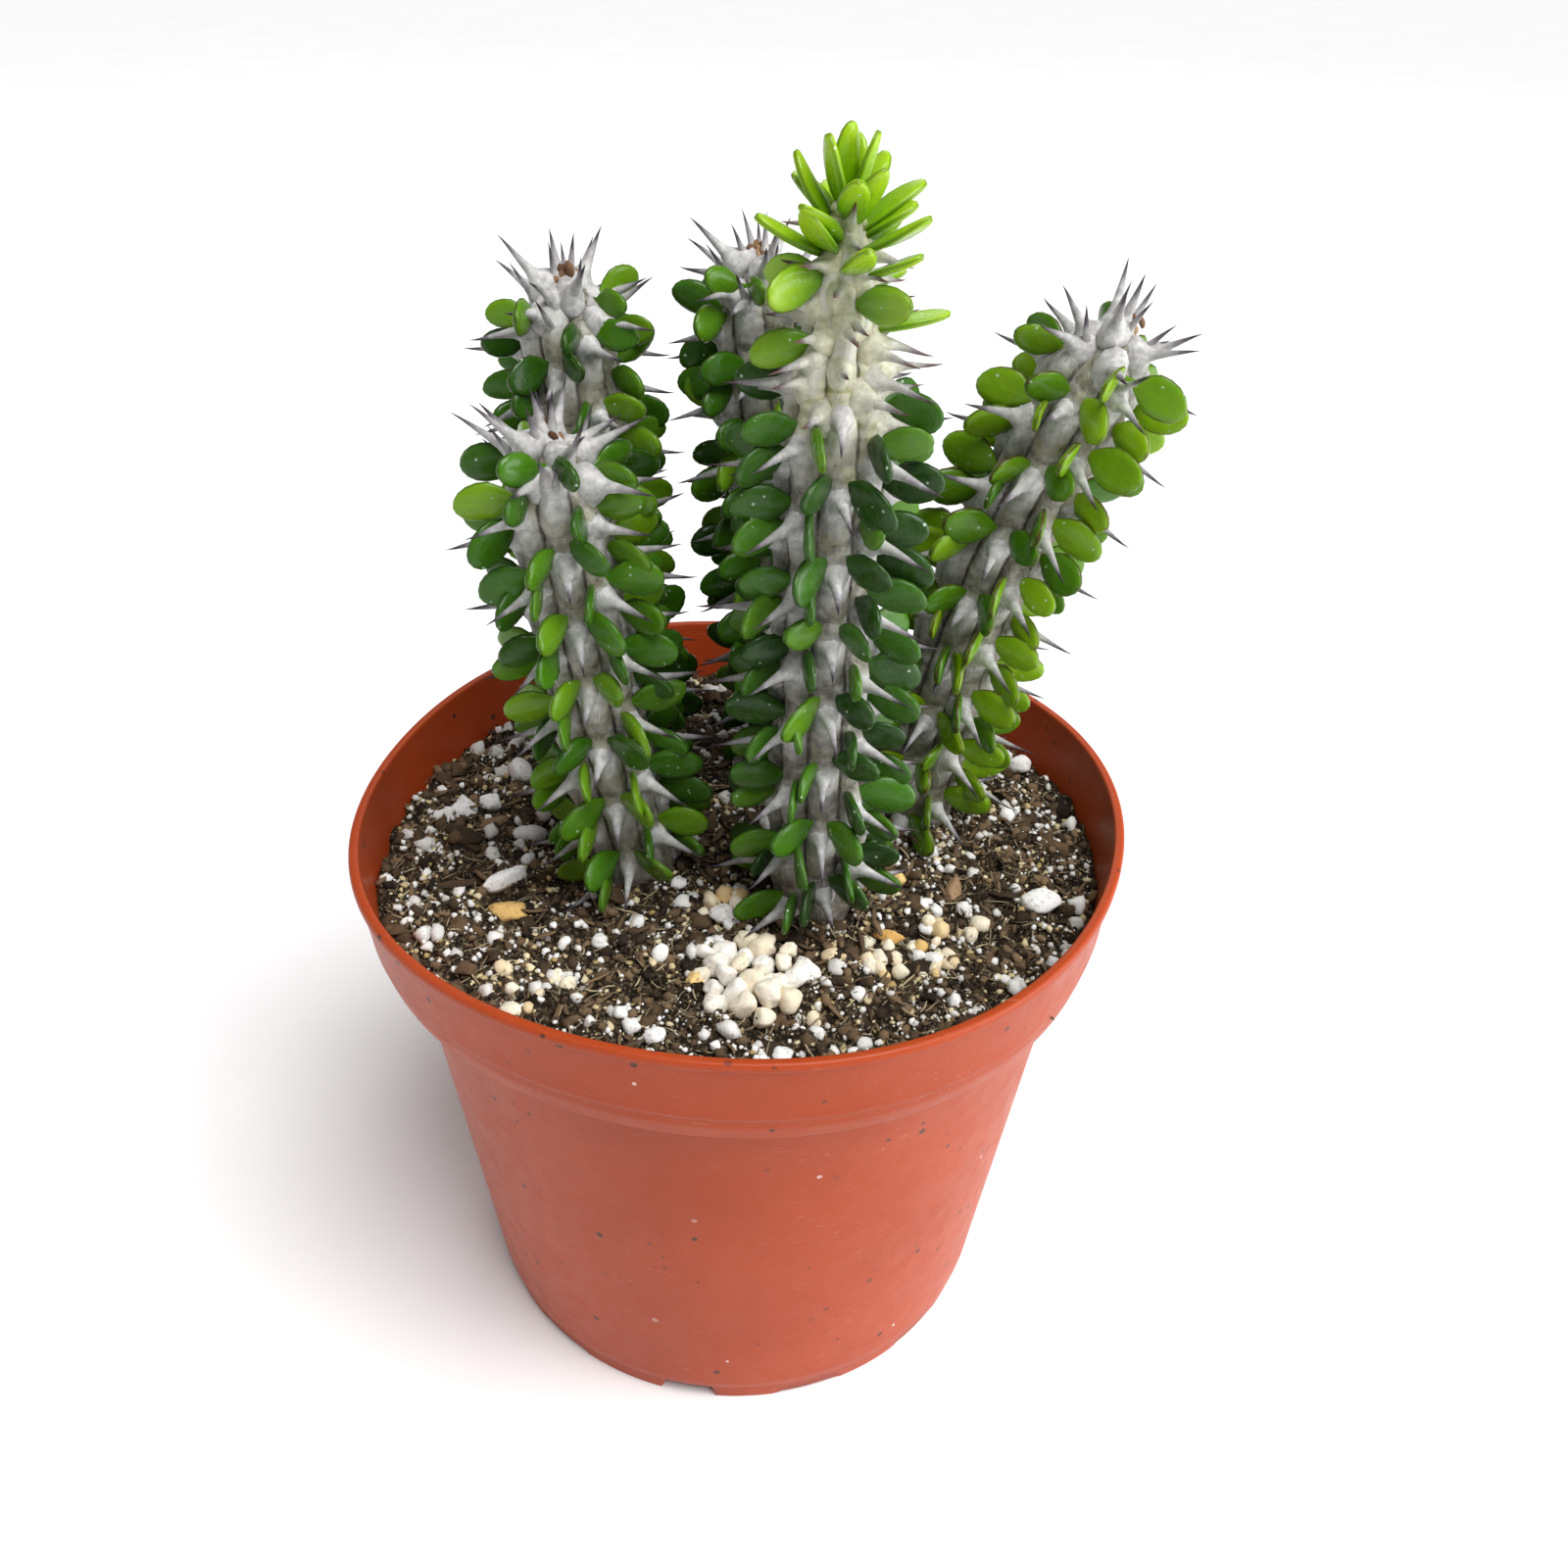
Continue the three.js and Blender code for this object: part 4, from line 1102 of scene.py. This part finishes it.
def old_leaf_at(stem, spot, crown, youth, wobble, hand):
    share = 1 + LEAF.vary * wobble(8 + hand)
    tilt = mix(LEAF.tilt, CROWN_LEAF.tilt, crown) + LEAF.sway[0] * wobble(12 + hand)
    turn = hand * LEAF.spread + LEAF.sway[1] * wobble(15 + hand)
    root = spot.at + spot.out * (stem_radius(stem, spot.s) - LEAF.sunk) + spot.up * LEAF.above
    length = (LEAF.length * share + LEAF.sunk) * mix(1, CROWN_LEAF.length_share, crown)
    width = LEAF.width * share * mix(1, CROWN_LEAF.width_share, crown)
    direction = leaned(spot.out, spot.up, tilt, turn)
    return Piece("leaf", root, direction, spot.up, length, 0.75 * youth, spot.up, width, LEAF.thickness)


def growth_at(stem, spot):
    """What grows at an areole: a thorn, and a pair of leaves above it or one long new leaf."""

    def wobble(k):
        return swing(spot.number, k, stem.base[0])

    crown = 1 - smooth(spot.left, 0, SPINE.crown_reach)
    youth = smooth(spot.s, SHOOT_LEAVES.bare_from, SHOOT_LEAVES.fresh_from) if stem.fresh else 0
    pieces = [thorn_at(stem, spot, crown, youth, wobble)]
    fresh_from = SHOOT_LEAVES.fresh_from if built(spot.number) else EXTRA_AREOLES.fresh_from
    if stem.fresh and spot.s > fresh_from:
        return pieces + [new_leaf_at(stem, spot, wobble)]
    if not stem.fresh and spot.left <= CROWN_LEAF.tip_room:
        return pieces
    for hand in (-1, 1):
        if youth == 0 or draw(spot.number, 20 + hand, stem.base[0]) <= SHOOT_LEAVES.kept_share:
            pieces.append(old_leaf_at(stem, spot, crown, youth, wobble, hand))
    return pieces


def tuft_pieces(stem):
    """The thorns or new leaves of the tuft at a stem's tip."""
    rule = LEAF_TUFT if stem.fresh else THORN_TUFT
    sway_up, sway_aside = TUFT.sway
    pieces = []
    for i in range(rule.count):
        share = i / (rule.count - 1)
        s = stem_length(stem) - TUFT.drop * (1 - share) - 1
        at, up, out = outward(stem, s, radians(stem.phase + TUFT.turn * i))
        tilt = mix(rule.tilt, TUFT.top_tilt, share ** rule.rise)
        tilt += sway_up * swing(i, 1, stem.base[1])
        root = at + out * (stem_radius(stem, s) * TUFT.root_share * (1 - share))
        direction = leaned(out, up, tilt, sway_aside * swing(i, 2, stem.base[1]))
        size = mix(*rule.shares, share)
        if stem.fresh:
            blade = (up.cross(out), FRESH.width, FRESH.thickness)
            pieces.append(Piece("leaf", root, direction, up, FRESH.length * size, 1, *blade))
        else:
            pieces.append(Piece("thorn", root, direction, up, SPINE.length * size, 0))
    return pieces


def extra_thorns(stem):
    """The scene's own thorns: on the new shoot, or round the crown of a stem that has stopped growing."""
    rule = SHOOT_THORNS if stem.fresh else CROWN_THORNS
    pieces = []
    for i in range(rule.count):
        share = i / (rule.count - 1)
        long = rule.length * mix(*EXTRA_THORN.shares, draw(i, 4, stem.base[1]))
        if stem.fresh:
            s = mix(rule.start, rule.end, share)
            tilt = rule.tilt + rule.sway * swing(i, 3, stem.base[1])
            long *= mix(1, rule.tip_share, share)
        else:
            s = stem_length(stem) - rule.drop * (1 - share)
            tilt = mix(*rule.tilts, share)
        at, up, out = outward(stem, s, radians(stem.phase + EXTRA_THORN.phase + TUFT.turn * i))
        sunk = SPINE.sunk * EXTRA_THORN.sunk_share
        root = at + out * (stem_radius(stem, s) + shoot_swell(stem, s) - sunk)
        direction = leaned(out, up, tilt, EXTRA_THORN.sway * swing(i, 5, stem.base[1]))
        young = mix(0.5, 1, share) if stem.fresh else 0
        pieces.append(Piece("thorn", root, direction, up, long + SPINE.sunk, young))
    return pieces


# Keeping the growth of different stems apart, as the solids do


def reach_of(piece, stem):
    radius = piece.width * LEAF_REACH_SHARE if piece.kind == "leaf" else THORN_REACH
    return Reach(stem.name, piece.root, piece.root + piece.direction * piece.length, radius)


def nearest_on(reach, point):
    line = reach.end - reach.start
    t = max(0.0, min(1.0, (point - reach.start).dot(line) / line.length_squared))
    return reach.start + line * t


def body_reaches():
    found = []
    for stem in STEMS:
        length = stem_length(stem)
        for s in range(0, ceil(length), BODY_REACH_STEP):
            end = along(stem, min(length, s + BODY_REACH_STEP))[0]
            found.append(Reach(stem.name, along(stem, s)[0], end, stem_radius(stem, s) + BODY_REACH_ROOM))
    return found


def is_clear(reach, taken, over_soil):
    """Whether a leaf or thorn keeps off the pot, the soil and what other stems have."""
    wide = reach.radius
    for share in (0.5, 0.75, 1):
        p = reach.start.lerp(reach.end, share)
        droop = wide * sin(pi * min(share, 0.9)) if wide > 1 else wide * (1 - share)
        if hypot(p.x, p.y) > REACH_LIMIT - wide / 2:
            return False
        if p.z - droop < float(soil_height(p.x, p.y)) + over_soil:
            return False
        wall = BAND_BOTTOM_RADIUS - WALL - 1 + (min(p.z, POT_HEIGHT) - BAND_BOTTOM) * 0.1
        if p.z < POT_HEIGHT + 2 and hypot(p.x, p.y) > wall - 1:
            return False
    for other in taken:
        if other.stem == reach.stem:
            continue
        need = wide + other.radius + SOIL_GAP
        for share in (0.25, 0.5, 0.75, 1):
            p = reach.start.lerp(reach.end, share)
            if (p - nearest_on(other, p)).length <= need:
                return False
    return True


def fitted(piece, stem, taken, over_soil):
    """The piece with the first of the bends that clears the rest, or nothing."""
    for rise, aside, share in BENDS:
        direction = Matrix.Rotation(radians(aside), 3, piece.up) @ piece.direction
        sideways = direction.cross(piece.up).normalized()
        direction = Matrix.Rotation(radians(rise), 3, sideways) @ direction
        tried = piece._replace(direction=direction, length=piece.length * share)
        reach = reach_of(tried, stem)
        if is_clear(reach, taken, over_soil):
            taken.append(reach)
            return tried
    return None


def all_growth():
    """Every stem's pieces. Those that the solids have are fitted first, in the same order."""
    taken = body_reaches()
    grown = {stem.name: [] for stem in STEMS}
    for own, over_soil in ((True, BUILT_OVER_SOIL), (False, EXTRA_OVER_SOIL)):
        for stem in STEMS:
            for spot in areoles(stem):
                bare = not own and not stem.fresh and spot.left < EXTRA_AREOLES.crown_room
                if built(spot.number) != own or bare:
                    continue
                tried = [fitted(piece, stem, taken, over_soil) for piece in growth_at(stem, spot)]
                grown[stem.name] += [piece for piece in tried if piece]
    for stem in STEMS:
        grown[stem.name] += tuft_pieces(stem) + extra_thorns(stem)
    return grown


# A leaf's mesh


def leaf_mesh(piece, seed, stem):
    """A thick blade with a rounded rim, bent, cupped and twisted a little. Its root end is narrow."""

    def chance(k):
        return draw(seed, k, LEAF_DRAWS)

    new = piece.young == 1
    form = NEW_BLADE if new else OLD_BLADE
    t = 0.5 - 0.5 * np.cos(np.linspace(0, pi, LEAF_RINGS))
    ring = around(LEAF_SIDES)
    # The outline is an oval on a slim neck, and the section an ellipse with blunt edges.
    s = np.clip((t - form.bare) / (1 - form.bare), 0, 1)
    oval = np.sqrt(np.clip(1 - (2 * s ** form.bulge - 1) ** 2, 0, 1))
    neck = 0.72 + 0.28 * smooth_array(s, 0, 0.35)
    slim = 1 if new else mix(0.94, 0.8, piece.young)
    half = piece.width * slim / 2 * np.maximum(oval * neck, np.where(t < 0.5, 0.2, 0.02))
    thick = piece.thickness / 2 * mix(0.78, 1, chance(1)) * (0.35 + 0.65 * (half / half.max()) ** 0.6)
    across = (np.sign(np.cos(ring)) * np.abs(np.cos(ring)) ** 0.85)[None, :] * half[:, None]
    lift = (np.sign(np.sin(ring)) * np.abs(np.sin(ring)) ** 0.75)[None, :] * thick[:, None]

    cup = (0.05 + 0.1 * chance(2)) * (1 if chance(3) > 0.4 else -1) * form.cup
    lengthwise = (t ** 2 * piece.length)[:, None]
    lift = lift + cup * across ** 2 / (piece.width * 0.5) + (chance(4) - 0.5) * form.bend * lengthwise
    twist = (chance(5) - 0.5) * 0.5 * t[:, None]
    c, s = np.cos(twist), np.sin(twist)
    across, lift = across * c - lift * s, across * s + lift * c
    across = across + (chance(6) - 0.62) * form.sag * lengthwise
    forward = np.repeat((t * piece.length / slim)[:, None], LEAF_SIDES, axis=1)

    normal = piece.direction.cross(piece.across).normalized()
    axes = np.array([piece.direction, normal.cross(piece.direction).normalized(), normal])
    points = np.stack([forward, across, lift], axis=-1).reshape(-1, 3) @ axes + np.array(piece.root)

    # The edge channel rises to 1 at the blade's rounded rim and its tip, where the leaf material paints shade.
    edge = np.repeat(np.abs(np.cos(ring))[None, :], LEAF_RINGS, axis=0)
    edge = np.maximum(edge, smooth_array(t, 0.9, 1)[:, None]).ravel()
    grow = columns(len(points), np.repeat(t, LEAF_SIDES), edge, chance(7), stem.tone)
    hurt = 1 if chance(8) > 1 - BURNT_SHARE else 0
    bloom = 0 if new else stem.bloom * mix(0.5, 1, chance(9))
    margin = stem.margin * mix(0.3, 1, chance(10))
    return points, grow, columns(len(points), bloom, hurt, margin, piece.young)


def make_leaves(stem, pieces, material):
    faces = tube_faces(LEAF_RINGS, LEAF_SIDES)
    gathered = Gathered()
    for i, piece in enumerate(piece for piece in pieces if piece.kind == "leaf"):
        points, grow, state = leaf_mesh(piece, i + stem.base[0] * 13, stem)
        gathered.add(points, faces, grow=grow, state=state)
    place(gathered.make(f"leaves_{stem.name}", material), "plant", f"leafy_stem_{stem.name}")


# A thorn's mesh


def thorn_mesh(piece, seed):
    """A thorn that flares into a broad foot, hooked a little downwards."""
    t, shares = np.array(THORN_SHAPE).T
    foot = THORN_FOOT * mix(*THORN_FOOT_SHARES, draw(seed, 1, THORN_DRAWS))
    radius = shares * (foot * mix(1, YOUNG_FOOT_SHARE, piece.young))
    ring = around(THORN_SIDES)
    side = piece.direction.cross(piece.up).normalized()
    rise = side.cross(piece.direction).normalized()
    tall = 1 + 0.4 * (1 - smooth_array(t, 0.1, 0.4))
    across = radius[:, None] * np.cos(ring)[None, :]
    upward = radius[:, None] * np.sin(ring)[None, :] * tall[:, None]
    hook = mix(*THORN_HOOK, draw(seed, 2, THORN_DRAWS)) * piece.length * smooth_array(t, 0.2, 1) ** 1.5
    upward = upward - hook[:, None] * (1 if piece.direction.dot(piece.up) < 0.4 else -0.4)
    across = across + (swing(seed, 3, THORN_DRAWS) * 0.14 * piece.length * t ** 2)[:, None]
    forward = np.repeat((t * piece.length)[:, None], THORN_SIDES, axis=1)
    axes = np.array([piece.direction, side, rise])
    points = np.stack([forward, across, upward], axis=-1).reshape(-1, 3) @ axes + np.array(piece.root)
    return points, columns(len(points), np.repeat(t, THORN_SIDES), piece.young, 0, 1)


def make_thorns(stem, pieces, material):
    faces = tube_faces(len(THORN_SHAPE), THORN_SIDES)[:, ::-1]
    gathered = Gathered()
    for i, piece in enumerate(piece for piece in pieces if piece.kind == "thorn"):
        points, grow = thorn_mesh(piece, i + stem.base[0] * 17)
        gathered.add(points, faces, grow=grow)
    place(gathered.make(f"thorns_{stem.name}", material), "plant", f"leafy_stem_{stem.name}")


# A stem's bark


def bark_noise(stem, s, turn, closeness, rise):
    """Noise round a stem at one height."""
    level = s * rise + stem.base[0]
    places = [(cos(a) * closeness, sin(a) * closeness, level) for a in turn]
    return np.array([noise.noise(Vector(spot)) for spot in places])


def make_bark(stem, material):
    """The ribbed skin, swollen round the foot of each thorn and cracked between the ribs."""
    length = stem_length(stem)
    stations = np.concatenate([BARK_FOOT, np.arange(-2, length, BARK_STEP), [length + BARK_TOP.rise]])
    ring = around(BARK_SIDES)
    turn = radians(stem.phase) + ring
    rib = np.abs(((ring * RIBS / (2 * pi) + 0.5) % 1) - 0.5) * 2
    found = areoles(stem)
    heights = np.array([areole.s for areole in found])
    cracked = CRACK.rise + CRACK.sway * np.sin(heights * 7.3 + stem.phase)
    angles = np.array([areole.angle for areole in found])
    gap = (turn[:, None] - angles[None, :] + pi) % (2 * pi) - pi
    points, grow = [], []
    for s in stations:
        at, _, side, front = along(stem, s)
        radius = stem_radius(stem, min(s, length)) + shoot_swell(stem, s)
        if s > length:
            radius *= BARK_TOP.radius_share
        full = smooth(s, TRUNK.plain_to - 3, TRUNK.full_at)
        away = s - heights
        lift = np.exp(-(away / np.where(away > 0, SWELL.above, SWELL.below)) ** 2)
        swell = np.exp(-(gap * radius / SWELL.width) ** 2) @ lift
        cut = np.exp(-((away - cracked) / CRACK.height) ** 2)
        crack = np.exp(-(gap * radius / CRACK.width) ** 2) @ cut
        groove = rib ** GROOVE.power * RIB_DEPTH * full * GROOVE.share
        groove += GROOVE.split * np.exp(-((1 - rib) / GROOVE.split_width) ** 2) * full
        raised = np.minimum(swell, SWELL.most) * SWELL.height * full
        relief = raised - groove - CRACK.depth * crack * full
        skin = radius + relief * min(1.0, radius / 8)
        for height, closeness, rise in (WAVES, ROUGHNESS):
            skin = skin + height * bark_noise(stem, s, turn, closeness, rise)
        x, y = skin * np.cos(turn), skin * np.sin(turn)
        points.append(np.array(at) + x[:, None] * np.array(side) + y[:, None] * np.array(front))
        # The first channel marks the bottoms of the grooves and cracks, where the bark material paints shade.
        split = np.maximum(rib * full, np.minimum(1, crack * 1.15) * 0.93 * full)
        young = smooth(s, *SHOOT.green) if stem.fresh else BARK_YOUTH
        grow.append(columns(BARK_SIDES, split, np.minimum(swell, 1), young, 1))
    faces = tube_faces(len(stations), BARK_SIDES)
    attributes = {"grow": np.concatenate(grow)}
    made = mesh_object(f"bark_{stem.name}", np.concatenate(points), faces, material, attributes)
    place(made, "plant", f"leafy_stem_{stem.name}")


def make_buds(material):
    """A pinch of dried bud scales in the crown of each stem that has stopped growing."""
    rng = random.Random(4)
    for stem in STEMS:
        if stem.fresh:
            continue
        gathered = Gathered()
        for i in range(BUDS.count):
            s = stem_length(stem) + rng.uniform(*BUDS.heights)
            at, _, out = outward(stem, s, i * GOLDEN_TURN)
            spot = at + out * (BUDS.reach * i ** BUDS.spread)
            points, faces = lump(2, i + 60, (0.6, 0.45, 1.1), 0.4)
            grow = columns(len(points), rng.random(), 0.5, 0, 1)
            turned = points @ turn_matrix(rng, 0.15).T * rng.uniform(*BUDS.sizes)
            gathered.add(turned + np.array(spot), faces, grow=grow)
        place(gathered.make(f"dried_bud_{stem.name}", material), "plant")


# The studio


def make_floor():
    n = Nodes("pale_floor")
    material = n.finish(n.ramp(n.noise(n.object_place(), 60, 2), (0.3, 0.7), FLOOR_GREYS), 0.7)
    far = FLOOR_SIZE
    points = [(-far, -far, 0), (far, -far, 0), (far, far, 0), (-far, far, 0)]
    mesh_object("floor", points, [[0, 1, 2, 3]], material)


def add_lamp(name, kind, way, power):
    data = bpy.data.lights.new(name, kind)
    data.energy = power
    lamp = bpy.data.objects.new(name, data)
    scene.collection.objects.link(lamp)
    lamp.rotation_euler = Vector(way).to_track_quat("-Z", "Y").to_euler()
    return lamp


def make_light():
    for name, at, size, watts in LAMPS:
        lamp = add_lamp(name, "AREA", Vector(LAMP_AIM) - Vector(at), watts)
        lamp.location = at
        lamp.data.shape = "DISK"
        lamp.data.size = size
    overhead = add_lamp("overhead", "SUN", OVERHEAD.way, OVERHEAD.power)
    overhead.data.angle = radians(OVERHEAD.angle)
    world = bpy.data.worlds.new("studio")
    world.use_nodes = True
    background = world.node_tree.nodes["Background"]
    background.inputs["Color"].default_value = (1, 1, 1, 1)
    background.inputs["Strength"].default_value = WORLD_LIGHT
    scene.world = world
    scene.view_settings.view_transform = "Standard"


make_floor()
make_light()
make_pot(plastic_material())
grain_materials = {name: grain_material(name) for name in GRAINS}
make_ground(grain_materials)
make_pile(grain_materials["pumice_stone"])
make_buds(grain_materials["dried_bud"])
bark, thorns, leaves = bark_material(), thorn_material(), leaf_material()
growth = all_growth()
for each in STEMS:
    make_bark(each, bark)
    make_thorns(each, growth[each.name], thorns)
    make_leaves(each, growth[each.name], leaves)
